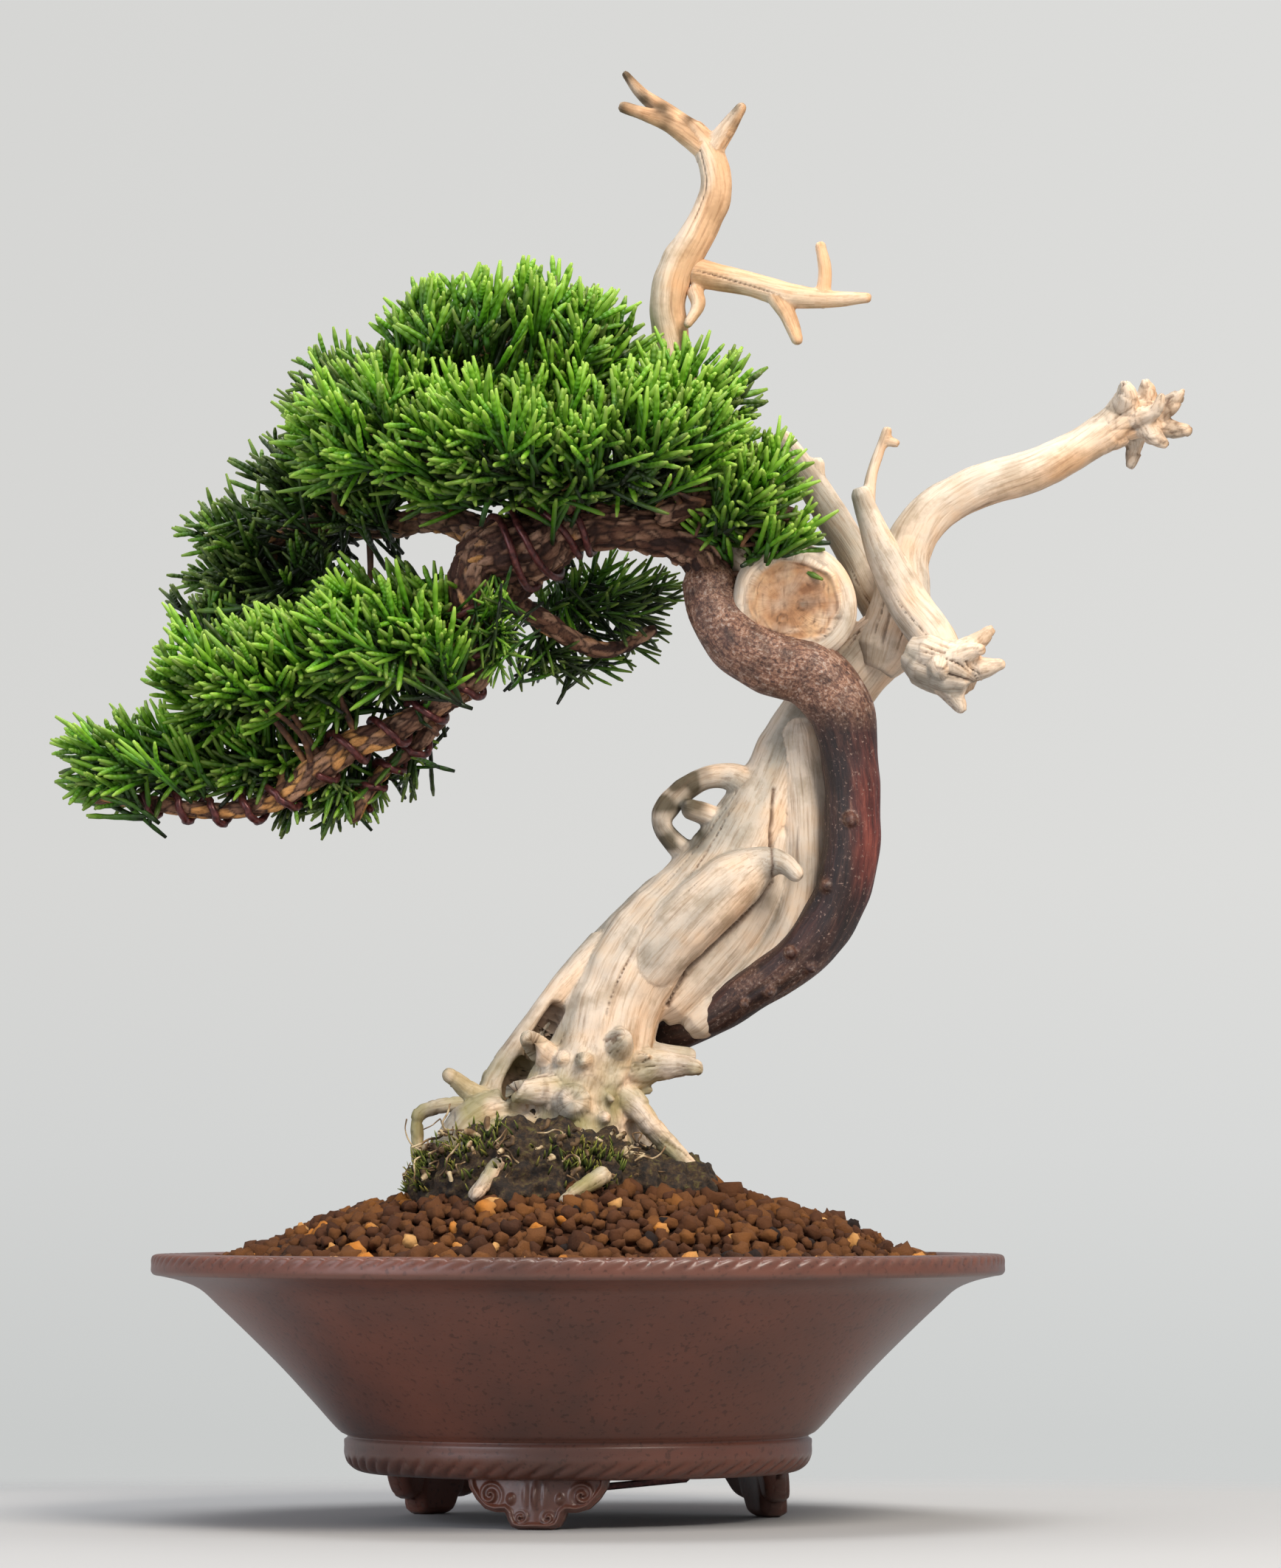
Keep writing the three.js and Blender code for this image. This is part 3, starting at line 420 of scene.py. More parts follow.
BASE_STUBS = [
    [[6, -2, 83, 10], [14, -4, 85, 6.6], [19, -5, 85, 4.4], [22.3, -6, 84.6, 3.2]],
    [[8, 0, 88, 6], [16, 1, 87, 4.5], [21, 2, 86.8, 3.5]],
    [[6, -3, 87, 8], [7.5, -8, 89, 6], [8.5, -10, 90, 4]],
    [[-1, -4, 80, 9], [-7, -11, 80.2, 6], [-12, -12.5, 80, 4]],
    [[-2, -4, 77, 8], [-1, -13, 78, 7]],
    [[-4, -5, 85, 6], [-7.5, -9, 88.3, 5], [-9.2, -11, 90, 3.8]],
    [[-14, -5, 76.5, 5.5], [-20.4, -7, 80.3, 4], [-24.3, -8, 83.3, 3]],
    [[-14, 0, 77, 5], [-20, 1, 77.8, 3.4], [-26, 1, 77.4, 3], [-29.8, 1, 76.2, 2.8], [-30.4, 0.5, 72, 2.6],
     [-30, 0, 66, 2.6], [-29.4, 0, 61, 2.4]],
    [[-8, -4, 74, 11], [-15, -8, 76.5, 8], [-20.5, -9, 74, 7.4], [-24, -9.5, 68, 7.4], [-25.5, -9, 61, 7]],
    [[-6, -6, 72, 10], [-14, -13, 71.5, 7], [-21, -16, 67.5, 6]],
    [[6, -4, 80, 9], [11, -6, 77, 5.4], [14.5, -7, 72.5, 4.2], [18.5, -8, 68.5, 3.6], [23, -8.5, 64, 3]],
    [[6, 6, 74, 12], [13, 14, 68, 9], [18, 21, 60, 6]],
]
PRUNED_KNOB = [[47, 8, 170, 13], [43, 2, 172, 19], [40.3, -7.5, 171.8, 18.4]]
PRUNED_CALLUS = [[31, -6.2, 171, 4.4], [32.6, -6.6, 177, 4.8], [38, -7, 180.6, 4.2], [45, -6.6, 179.6, 5],
                 [49.6, -6.4, 174.6, 4.4], [49.4, -6.4, 168, 5.2], [44.6, -7, 163.4, 5.4],
                 [37, -7.2, 163.2, 5.8], [31.8, -6.6, 167, 4.8], [31, -6.2, 171, 4.4]]
PRUNED_ARM = [[42, 2, 174, 13], [34, 1, 178.3, 9.5], [27.5, 1.2, 183.5, 6]]
JIN_TOP = [[30, 6, 184, 10], [24, 6, 198, 9], [19.4, 6, 212, 8.2], [17.6, 6, 223, 7.2],
           [16.9, 5, 230, 7.0], [18.8, 4.5, 237, 7.2], [22.6, 4, 243, 6.8], [26, 4, 251, 6.4],
           [24.6, 4, 259, 5.6], [21.5, 4, 263, 4.6]]
JIN_TOP_TIPS = [
    [[23.5, 4, 260, 5.2], [17, 3.6, 264.4, 4], [13, 3, 265.6, 2.8], [8.2, 3, 267.2, 2.2]],
    [[21, 4, 263, 4.4], [16, 5, 267.0, 3.6], [12, 6, 270.2, 2.8], [8.8, 6, 274, 1.8]],
    [[24.5, 4, 258, 5], [27.9, 2.6, 262.6, 3.6], [31, 1.5, 267, 2.2]],
    [[27, 3, 261.5, 3], [28.6, 1.5, 262, 1.6]],
]
JIN_TOP_ARM = [[22.5, 5, 235.6, 5.8], [31.3, 2, 233.4, 4.8], [40.1, -1, 230.6, 4.6], [47.5, -3, 229.6, 3.4],
               [54.6, -5, 229.6, 2]]
JIN_TOP_ARM_TWIGS = [
    [[46, -2.5, 229.5, 3.2], [46.6, -2, 235, 2.6], [45.7, -1, 240.2, 2.2]],
    [[37.5, -0.5, 230.5, 4], [39.8, -2, 226, 3.2], [41.3, -3.5, 221.6, 2.4]],
    [[22, 4, 232, 3.4], [22.6, 2, 229, 2.8], [20.5, 1, 225.3, 1.8]],
]
JIN_RIGHT = [[57.5, 4, 163, 12], [61, 5, 172, 11.4], [62, 6, 182, 9.6], [66.4, 7, 189.4, 8.9],
             [75, 8, 194.8, 8.4], [87.4, 9, 198.8, 8.2], [96.9, 10, 203.8, 7.4], [104, 10.5, 208, 8.4],
             [108.5, 11, 209.3, 8]]
JIN_RIGHT_TIPS = [
    [[107, 11, 210, 6], [108.4, 10, 213, 4], [108, 9, 215.4, 2.2]],
    [[108, 11, 208, 5.4], [112.6, 10, 206.4, 4], [116, 9, 206, 2.4]],
    [[106, 11, 208, 6], [106, 12, 203.4, 3.8], [105.2, 12, 199.8, 2.2]],
    [[103, 10, 209.5, 6], [104.2, 6, 212.5, 4], [103.4, 5, 214.6, 2.2]],
    [[109, 10, 209, 5.4], [113.2, 8, 211.4, 3.2], [114.8, 7, 213.4, 1.8]],
    [[108, 9, 207, 5], [109.5, 6, 204.2, 3.4], [111.5, 5.5, 202.6, 1.8]],
    [[106, 8, 208, 4.4], [109.6, 5, 209.6, 3], [110.6, 4, 212.4, 1.8]],
]
JIN_FRONT = [[68, -7, 161.5, 9], [66.4, -6, 165.5, 8.6], [62.3, -5, 171.5, 8.2], [58.2, -6, 179.4, 7.2],
             [55, -7, 187, 5], [53, -7.5, 192.4, 3.8]]
JIN_FRONT_TWIG = [[54.4, -6, 189, 3], [55.2, -5.5, 196, 2.2], [58.2, -5, 204.6, 2]]
JIN_FRONT_TWIG_TIP = [[57.6, -5, 202.6, 2.2], [60, -5, 202, 1.8]]
KNOT = [
    [[65, -7, 161.6, 11], [71, -9, 158.5, 11]],
    [[70, -9, 160.5, 7], [74, -10, 163.6, 4.4], [77.4, -10, 166.4, 2.2]],
    [[71, -9, 159.5, 7], [76, -11, 159.2, 4.2], [79.4, -12, 159.8, 2.2]],
    [[69, -9, 158, 8], [70.6, -9.5, 153.8, 4.4], [71.8, -10, 151.6, 2.4]],
    [[70, -11, 160.5, 6], [73.5, -13, 162, 3.6], [75.4, -14, 162.4, 2]],
    [[68, -10, 160, 7], [67.5, -13, 158.6, 4.4]],
]
JIN_BACK = [[60.4, 11, 167.5, 8], [55.6, 12.6, 175, 7.2], [52.5, 13, 182.5, 6.8], [48, 13, 190.4, 6.6],
            [43.8, 13, 197.2, 5.8], [38.5, 13, 205, 4.4]]
JIN_BACK_TWIG = [[45.6, 13, 193.6, 3.4], [45.4, 12.6, 200.4, 2.8]]

# The trunk's deep creases, as half width, depth and way across its front: a long crack, the edge of
# the carved flap and the hollow behind the strip on the left.
CREASES = [(0.35, 0.7, [(36.4, 120), (36.2, 127), (36.8, 137)]),
           (0.35, 0.9, [(16.5, 96), (20, 102), (26.5, 108.4), (32.5, 114.2), (36.4, 119.4)]),
           (1.5, 2.8, [(-12.8, 80), (-12.2, 82), (-8.6, 88), (-5.6, 93), (-4.2, 95.4)])]
# The biggest limb was sawn off: a flat cut, ringed by callus, with two dowel plugs.
CUT_MIDDLE = np.array([40.2, -9.3, 171.8])
CUT_HALF_WIDTH = 8.6
CUT_HALF_HEIGHT = 7.6
KNOB_REACH = [15, 11, 14]
CUT_PLUGS = [(38.3, 168.6), (42.1, 171.2)]
# Where the wood is gnarled, damp or weathered grey, in mm.
GNARLED_BELOW = 91
GNARLED_RIGHT_OF = 99
HOOK_LEFT_OF = 25.5
HOOK_ABOVE = 124.5
HOOK_BELOW = 143
GREY_ABOVE = 260
GREY_RIGHT_OF = 108
DAMP_BELOW = 94


def frames(middles):
    """Unit vectors along, across and over a row of points, turning as little as they can."""
    along = np.gradient(middles, axis=0)
    along /= np.linalg.norm(along, axis=1)[:, None] + 1e-12
    across = np.zeros_like(along)
    start = np.cross([0, 1, 0], along[0])
    across[0] = start if np.linalg.norm(start) > 0.1 else np.cross([1, 0, 0], along[0])
    for i in range(len(along)):
        carried = across[max(i - 1, 0)]
        carried = carried - along[i] * (carried @ along[i])
        across[i] = carried / np.linalg.norm(carried)
    return along, across, np.cross(along, across)


def tube(row, sides, step):
    """Points and faces of a closed tube along a row of [x, y, z, diameter], with rounded ends."""
    path = smooth_row(row, step)
    first, last = path[0].copy(), path[-1].copy()
    lead = (path[0, :3] - path[1, :3]) / np.linalg.norm(path[0, :3] - path[1, :3])
    trail = (path[-1, :3] - path[-2, :3]) / np.linalg.norm(path[-1, :3] - path[-2, :3])
    for cap, direction in ((first, lead), (last, trail)):
        cap[:3] += direction * cap[3] * 0.3
        cap[3] *= 0.62
    path = np.vstack([first, path, last])
    _, across, over = frames(path[:, :3])
    angle = np.arange(sides) * 2 * math.pi / sides
    spoke = across[:, None] * np.cos(angle)[None, :, None] + over[:, None] * np.sin(angle)[None, :, None]
    points = (path[:, None, :3] + spoke * path[:, None, 3:] / 2).reshape(-1, 3)
    faces = [[i * sides + j, (i + 1) * sides + j, (i + 1) * sides + (j + 1) % sides,
              i * sides + (j + 1) % sides] for i in range(len(path) - 1) for j in range(sides)]
    faces = [face[::-1] for face in faces]
    faces += [list(range(sides)), list(range(len(points) - 1, len(points) - 1 - sides, -1))]
    return points, faces


def merged(parts):
    """Many (points, faces) as one."""
    points, faces, count = [], [], 0
    for some, sides in parts:
        points.append(some)
        faces += [[i + count for i in side] for side in sides]
        count += len(some)
    return np.vstack(points), faces


def melted(parts, voxel, smoothing):
    """The one skin round overlapping closed shapes in mm, as points, faces and normals."""
    points, faces = merged(parts)
    mesh = bpy.data.meshes.new("melt")
    mesh.from_pydata(points.tolist(), [], faces)
    body = bpy.data.objects.new("melt", mesh)
    scene.collection.objects.link(body)
    remesh = body.modifiers.new("remesh", "REMESH")
    remesh.mode = "VOXEL"
    remesh.voxel_size = voxel
    relax = body.modifiers.new("relax", "SMOOTH")
    relax.factor = 0.5
    relax.iterations = smoothing
    skin = bpy.data.meshes.new_from_object(body.evaluated_get(bpy.context.evaluated_depsgraph_get()))
    found = np.zeros(len(skin.vertices) * 3)
    skin.vertices.foreach_get("co", found)
    normals = np.zeros(len(skin.vertices) * 3)
    skin.vertex_normals.foreach_get("vector", normals)
    faces = [list(face.vertices) for face in skin.polygons]
    bpy.data.objects.remove(body)
    bpy.data.meshes.remove(mesh)
    bpy.data.meshes.remove(skin)
    return found.reshape(-1, 3), faces, normals.reshape(-1, 3)


def grain_of(points, rows, twist):
    """For every point of a skin, its place on the nearest limb: how far round it in mm (as x and
    y), how far along it in mm, and the limb's radius there. `twist` is in radians per mm."""
    middles, extra = [], []
    for number, row in enumerate(rows):
        path = smooth_row(row, 1.0)
        along, across, over = frames(path[:, :3])
        run = np.concatenate([[0], np.cumsum(np.linalg.norm(np.diff(path[:, :3], axis=0), axis=1))])
        middles.append(path)
        extra.append(np.hstack([along, across, over, run[:, None] + number * 137.0]))
    middles, extra = np.vstack(middles), np.vstack(extra)
    nearest = np.zeros(len(points), int)
    for start in range(0, len(points), 20000):
        some = points[start:start + 20000]
        away = np.linalg.norm(some[:, None] - middles[None, :, :3], axis=2) - middles[None, :, 3] / 2
        nearest[start:start + 20000] = away.argmin(1)
    offset = points - middles[nearest, :3]
    found = extra[nearest]
    radius = middles[nearest, 3] / 2
    run = found[:, 9] + (offset * found[:, 0:3]).sum(1)
    angle = np.arctan2((offset * found[:, 6:9]).sum(1), (offset * found[:, 3:6]).sum(1)) + twist * run
    return np.stack([np.cos(angle) * radius, np.sin(angle) * radius, run], 1), radius


def field(points, size, offset=0.0):
    """Smooth noise from about -1 to 1, with lumps of `size`, which may differ by axis."""
    return np.array([noise.noise(Vector(p)) for p in points / np.array(size) + offset])


def note(made, name, values):
    """Keeps a number or a vector for every point of a mesh, for its material."""
    kind = "FLOAT_VECTOR" if np.ndim(values) == 2 else "FLOAT"
    kept = made.data.attributes.new(name, kind, "POINT")
    kept.data.foreach_set("vector" if kind == "FLOAT_VECTOR" else "value", np.ravel(values))


def cells(points, size):
    """Distance to the edge between cells of `size`, and a number from 0 to 1 for each cell."""
    edge, tone = np.zeros(len(points)), np.zeros(len(points))
    for i, p in enumerate(points / np.array(size)):
        distances, centres = noise.voronoi(Vector(p))
        edge[i] = distances[1] - distances[0]
        tone[i] = noise.cell(centres[0] * 7.3 + Vector((0.31, 0.17, 0.73)))
    return edge, np.abs(tone) % 1.0


def deadwood(name, rows, stands_for, voxel=0.42, flute=1.0, crack=1.0, warm=0.5, twist=0.02):
    """Grows one piece of bleached wood from its limbs. `flute` is how deep its grooves are and
    `crack` its cracks; `warm` is 0 for weathered grey wood and 1 for the peach of fresh carving."""
    points, faces, normals = melted([tube(row, 20, 0.8) for row in rows], voxel, 5)
    grain, radius = grain_of(points, rows, twist)
    size = np.clip(radius / 6, 0.35, 1.6)
    low_down = np.clip((GNARLED_BELOW - points[:, 2]) / 8, 0, 1)
    on_cut = bell(np.linalg.norm((points - CUT_MIDDLE) / KNOB_REACH, axis=1), 1.0)
    broad = field(grain, (4.2, 4.2, 46), 3.1)
    ribs = field(grain, (1.7, 1.7, 20), 7.7)
    fibres = field(grain, (0.6, 0.6, 9), 1.3)
    hooked = np.clip((HOOK_LEFT_OF - points[:, 0]) / 3, 0, 1)
    hooked *= np.clip((points[:, 2] - HOOK_ABOVE) / 2, 0, 1)
    hooked *= np.clip((HOOK_BELOW - points[:, 2]) / 2, 0, 1)
    lumps = field(points, 4.0, 9.2) * (1 + 2.8 * on_cut)
    lumps += 1.5 * (low_down + hooked) * field(points, 2.7, 2.0)
    split = 1 - np.abs(field(grain, (2.4, 2.4, 60), 5.5)) * 17
    split = np.clip(split, 0, 1) * np.clip(field(grain, (6, 6, 24), 2.2) * 5 - 0.9, 0, 1)
    deep = np.zeros(len(points))
    for width, depth, way in CREASES:
        line = smooth_row([[x, 0, z] for x, z in way], 0.4)
        wander = points[:, [0, 2]] + 0.35 * field(points, 3.0)[:, None]
        near = np.min([np.hypot(wander[:, 0] - x, wander[:, 1] - z) for x, _, z in line], 0)
        # Painted shade: inside each crease the wood is also painted darker, besides being sunk.
        opened = np.clip(1.3 - near / width, 0, 1) * (normals[:, 1] < 0.1)
        split = np.maximum(split, opened)
        deep = np.maximum(deep, opened * max(depth - 0.7, 0))
    split *= 1 - on_cut
    sunk = flute * size * (1 - 0.8 * on_cut) * (0.24 * broad + 0.11 * ribs - 0.06 * np.abs(fibres))
    sunk += 0.3 * flute * lumps * size - crack * 0.7 * split * np.clip(size, 0.5, 1.2) - deep
    gnarled = low_down * 0.4
    if name.startswith("jin_right"):
        gnarled = np.clip((points[:, 0] - GNARLED_RIGHT_OF) / 6, 0, 0.6)
    elif name.startswith("jin_knot"):
        gnarled = np.full(len(points), 0.3)
    broken, facet = cells(points, 2.9)
    where = gnarled > 0
    sunk[where] += gnarled[where] * (0.9 * facet[where] - 0.75 + 0.35 * np.clip(broken[where] * 3, 0, 1))
    split = np.maximum(split, gnarled * np.clip(1 - broken * 9, 0, 1) * (facet > 0.35))
    moved = points + normals * sunk[:, None]
    off = points - CUT_MIDDLE
    face = np.hypot(off[:, 0] / CUT_HALF_WIDTH, off[:, 2] / CUT_HALF_HEIGHT)
    cut = np.clip((1.08 - face) * 7, 0, 1) * (off[:, 1] < 2.5)
    plugs = np.min([np.hypot(points[:, 0] - x, points[:, 2] - z) for x, z in CUT_PLUGS], 0)
    flat = CUT_MIDDLE[1] + 0.25 * field(points, (0.9, 0.9, 2.2), 6.0) - 0.35 * bell(plugs - 0.8, 0.4)
    moved[:, 1] += cut * (flat - moved[:, 1])
    made = new_object(name, moved, faces)
    tone = warm + 0.5 * field(grain, (5, 5, 40), 11.0) + 0.2 * field(points, 9.0, 4.0)
    # Painted light and shade: wood facing right and to the front, towards the key light, is made warmer and
    # paler, and wood facing left greyer and darker.
    tone += 0.42 * normals[:, 0] - 0.06 * normals[:, 1] - 0.14
    note(made, "grain", grain)
    years = np.abs(np.sin(face * 15 + 1.4 * field(points, 2.6, 4.0)))
    checks = cut * (0.55 * np.clip(0.5 - years, 0, 1) + 0.7 * bell(plugs - 0.95, 0.22))
    checks += 0.6 * cut * np.clip(field(points, (0.8, 0.8, 2.2), 9.0) * 3 - 0.9, 0, 1)
    checks += 0.8 * bell(face - 1.1, 0.07) * (points[:, 2] < 170) * (points[:, 1] < -5) * on_cut
    # The hollow mark is the brown of cracks, rings and checks, and painted shade in grooves, creases and
    # cracks.
    note(made, "hollow", np.clip(split * 0.95 + checks + np.clip(-ribs * 0.9 - 0.4, 0, 1) * 0.2, 0, 1))
    note(made, "warmth", np.clip(tone, 0, 1))
    tips = np.clip((points[:, 2] - GREY_ABOVE) / 7, 0, 0.75)
    tips += np.clip((points[:, 0] - GREY_RIGHT_OF) / 9, 0, 0.45)
    note(made, "weathered", np.clip((hooked + tips) * (0.8 + field(points, 2.5, 3.0)), 0, 1))
    note(made, "cut", cut * np.clip(0.85 + 0.5 * field(points, 2.5, 1.0) - 0.5 * bell(plugs, 0.6), 0, 1))
    damp = np.clip((DAMP_BELOW - points[:, 2]) / 20, 0, 1)
    note(made, "damp", damp * np.clip(0.4 + 1.6 * field(points, 5.5, 6.0), 0, 1))
    place(made, bleached_juniper, "deadwood", *stands_for)


# Bleached juniper heartwood: matt, cream where it is limed, peach where it was carved last, silver
# grey where it has weathered, with brown in its cracks and green algae where it stays damp. Painted
# light and shade run through it: wood facing the key light is painted warmer and paler, wood facing
# left greyer, and cracks, grooves and creases darker as shade besides their own brown. The
# growth rings show as lines 0.5 mm apart along the grain, and the stains are 7 mm across.
bleached_juniper, tree = blank("limed_juniper_heartwood")
grain = add(tree, "Attribute", {"attribute_name": "grain"}).outputs["Vector"]
hollow = add(tree, "Attribute", {"attribute_name": "hollow"}).outputs["Fac"]
# The warmth carries painted light: warmer and paler where the wood faces the key light.
warmth = add(tree, "Attribute", {"attribute_name": "warmth"}).outputs["Fac"]
damp = add(tree, "Attribute", {"attribute_name": "damp"}).outputs["Fac"]
cut = add(tree, "Attribute", {"attribute_name": "cut"}).outputs["Fac"]
weathered = add(tree, "Attribute", {"attribute_name": "weathered"}).outputs["Fac"]
lengthwise = add(tree, "Mapping", inputs={"Vector": grain, "Scale": (1.0, 1.0, 0.07)})
body = add(tree, "ValToRGB", {"stops": [(0.0, "#a39d91"), (0.25, "#c7bbac"), (0.5, "#decdba"),
                                        (0.78, "#e8cdb2"), (1.0, "#d8b08a")]}, {"Fac": warmth})
rings = add(tree, "TexNoise", inputs={"Vector": lengthwise, "Scale": 1 / 0.5 * 0.8, "Detail": 6.0,
                                      "Roughness": 0.65})
ring_tone = add(tree, "ValToRGB", {"stops": [(0.3, "#9c8471"), (0.42, "#dccfc0"), (0.52, "#ffffff"),
                                             (0.75, "#fff8ee")]}, {"Fac": rings})
lined = add(tree, "Mix", {"data_type": "RGBA", "blend_type": "MULTIPLY"},
            {0: 0.55, 6: body, 7: ring_tone})
where = add(tree, "TexCoord").outputs["Object"]
stain = add(tree, "TexNoise", inputs={"Vector": where, "Scale": 1 / (6.67 * MM), "Detail": 4.0,
                                      "Roughness": 0.6})
greyed = add(tree, "ValToRGB", {"stops": [(0.36, "#b5ab98"), (0.5, "#ffffff"), (0.7, "#ffe9cf")]},
             {"Fac": stain})
stained = add(tree, "Mix", {"data_type": "RGBA", "blend_type": "MULTIPLY"},
              {0: 0.5, 6: lined, 7: greyed})
sawn_tone = add(tree, "ValToRGB", {"stops": [(0.36, "#7f573c"), (0.48, "#a97d59"), (0.62, "#c59f79")]},
                {"Fac": stain})
sawn = add(tree, "Mix", {"data_type": "RGBA"}, {0: cut, 6: stained, 7: sawn_tone})
silvered = add(tree, "Mix", {"data_type": "RGBA", "blend_type": "MULTIPLY"},
               {0: weathered, 6: sawn, 7: "#6f6d62"})
# Dark brown where the hollow mark is high: partly the cracks' own colour, partly painted shade in cracks,
# grooves and creases.
cracked_and_shaded = add(tree, "Mix", {"data_type": "RGBA"}, {0: hollow, 6: silvered, 7: "#5e4433"})
algae_edge = add(tree, "Math", {"operation": "MULTIPLY"}, {0: damp, 1: 0.75})
algae = add(tree, "Mix", {"data_type": "RGBA"}, {0: algae_edge, 6: cracked_and_shaded, 7: "#7f7b3d"})
fibre_bump = add(tree, "Bump", inputs={"Strength": 0.55, "Distance": 0.35 * MM, "Height": rings})
bone = add(tree, "BsdfPrincipled", inputs={"Base Color": algae, "Roughness": 0.72,
                                           "Specular IOR Level": 0.3, "Normal": fibre_bump})
close(tree, bone)

# Short broken stubs stand all round the trunk's foot.
FOOT_STUBS = 13
rng = np.random.default_rng(5)
spikes = []
for _ in range(FOOT_STUBS):
    around = math.radians(rng.uniform(-170, -5))
    root = np.array([-1.5 + 10.5 * math.cos(around), 9.5 * math.sin(around), rng.uniform(70, 90)])
    root[0] += max(root[2] - 79, 0) * 0.55
    out = np.array([math.cos(around), math.sin(around), rng.uniform(-0.5, 0.8)]) * rng.uniform(2.5, 4.5)
    thick = rng.uniform(2.0, 3.4)
    spikes.append([[*(root - out * 0.5), thick + 1], [*(root + out * 0.5), thick],
                   [*(root + out), thick * 0.6]])

deadwood("trunk_bleached", [TRUNK, TRUNK_STRIP, TRUNK_HOOK, TRUNK_HOOK_STUB, TRUNK_FLAP, TRUNK_WEB,
                            TRUNK_EDGE, TRUNK_BACKING, *BASE_STUBS, *spikes, PRUNED_KNOB,
                            PRUNED_CALLUS, PRUNED_ARM], ["trunk_deadwood"], 0.4, 0.9, 1.0, 0.5, 0.012)
deadwood("jin_right_bleached", [JIN_RIGHT, *JIN_RIGHT_TIPS], ["jin_right"], 0.36, 0.9, 1.0, 0.62)
deadwood("jin_front_bleached", [JIN_FRONT, JIN_FRONT_TWIG, JIN_FRONT_TWIG_TIP], ["jin_front"], 0.34, 0.9,
         0.8, 0.6)
deadwood("jin_knot_bleached", KNOT, ["jin_knot"], 0.34, 1.3, 1.4, 0.6)
deadwood("jin_back_bleached", [JIN_BACK, JIN_BACK_TWIG], ["jin_back"], 0.36, 0.9, 0.9, 0.35)
deadwood("jin_top_bleached", [JIN_TOP, *JIN_TOP_TIPS], ["jin_top"], 0.34, 1.5, 1.2, 1.0)
deadwood("jin_top_arm_bleached", [JIN_TOP_ARM, *JIN_TOP_ARM_TWIGS], ["jin_top_arm"], 0.32, 1.5, 1.2, 1.1)

# ---------------------------------------------------------------------------------------------
# The live vein: the one strip of living bark that feeds the tree. It comes up behind the trunk,
# swells round its right side and ends in the first branch. Its bark was brushed to its red skin.
LIVE_VEIN = [[2, 17, 52, 9], [3, 18, 67, 8.5], [4.5, 17, 80, 7.5], [13, 11.5, 89.5, 7.4],
             [23.9, 3, 93.6, 7.4], [32.8, -1, 99.4, 8.4], [41.6, -3, 105.5, 9.4],
             [47.8, -4, 113.8, 10.3], [50.8, -5, 123.3, 10.6], [51.5, -5, 133.6, 10.5],
             [50.9, -5.5, 143.9, 10.8], [49, -6, 152.5, 12.6], [43.4, -6, 158.6, 13.2],
             [36.2, -6, 160.8, 13], [30.4, -5, 164.4, 12.4], [26.2, -3, 170.4, 11.2],
             [24.4, -2, 176.8, 10]]
VEIN_BUDS = [[31, -5.4, 96.6], [39.6, -7.6, 106.2], [46.2, -8.4, 118.6], [43.6, -6.4, 103.2],
             [50.8, -10.1, 131], [36, -5.6, 98.6]]
# Heights in mm: some old scale is left round the first, it covers all above the second, and the bark
# is reddest at the third, where its red skin along the right edge is also painted paler as sheen.
OLD_SCALE_AT = 100
OLD_SCALE_FROM = 147
RED_AND_SHEEN_AT = 129

# Juniper bark, brushed to its red skin: a dull satin with fissures 0.6 mm apart and flecks of old
# grey scale 0.7 mm across. The red, paler skin is partly its own colour, in patches, and partly a
# painted sheen along the right edge, where the key light falls.
brushed_bark, tree = blank("brushed_juniper_bark")
grain = add(tree, "Attribute", {"attribute_name": "grain"}).outputs["Vector"]
scale_left = add(tree, "Attribute", {"attribute_name": "warmth"}).outputs["Fac"]
redness = add(tree, "Attribute", {"attribute_name": "redness"}).outputs["Fac"]
lengthwise = add(tree, "Mapping", inputs={"Vector": grain, "Scale": (1.0, 1.0, 0.13)})
fissures = add(tree, "TexNoise", inputs={"Vector": lengthwise, "Scale": 1 / 0.6 * 0.6, "Detail": 6.0,
                                         "Roughness": 0.7})
dark_bark = add(tree, "ValToRGB", {"stops": [(0.3, "#120b0c"), (0.47, "#241817"), (0.58, "#382521"),
                                             (0.74, "#684d40")]}, {"Fac": fissures})
red_bark_and_sheen = add(tree, "ValToRGB", {"stops": [(0.3, "#2c100e"), (0.48, "#5c2620"), (0.62, "#7c3c30"),
                                            (0.78, "#9c5f4e")]}, {"Fac": fissures})
skin = add(tree, "Mix", {"data_type": "RGBA"}, {0: redness, 6: dark_bark, 7: red_bark_and_sheen})
flecks = add(tree, "TexNoise", inputs={"Vector": grain, "Scale": 1 / 0.714, "Detail": 4.0,
                                       "Roughness": 0.75})
fleck_edge = add(tree, "MapRange", inputs={"Value": flecks, "From Min": 0.6, "From Max": 0.66})
flecked = add(tree, "Mix", {"data_type": "RGBA"}, {0: fleck_edge, 6: skin, 7: "#8d7468"})
scale_tone = add(tree, "ValToRGB", {"stops": [(0.36, "#3d2823"), (0.46, "#6d4a3c"), (0.54, "#946c54"),
                                              (0.64, "#a8978c")]}, {"Fac": flecks})
scaled = add(tree, "Mix", {"data_type": "RGBA"}, {0: scale_left, 6: flecked, 7: scale_tone})
fissure_bump = add(tree, "Bump", inputs={"Strength": 0.6, "Distance": 0.5 * MM, "Height": fissures})
bark = add(tree, "BsdfPrincipled", inputs={"Base Color": scaled, "Roughness": 0.5,
                                           "Specular IOR Level": 0.45, "Normal": fissure_bump})
close(tree, bark)

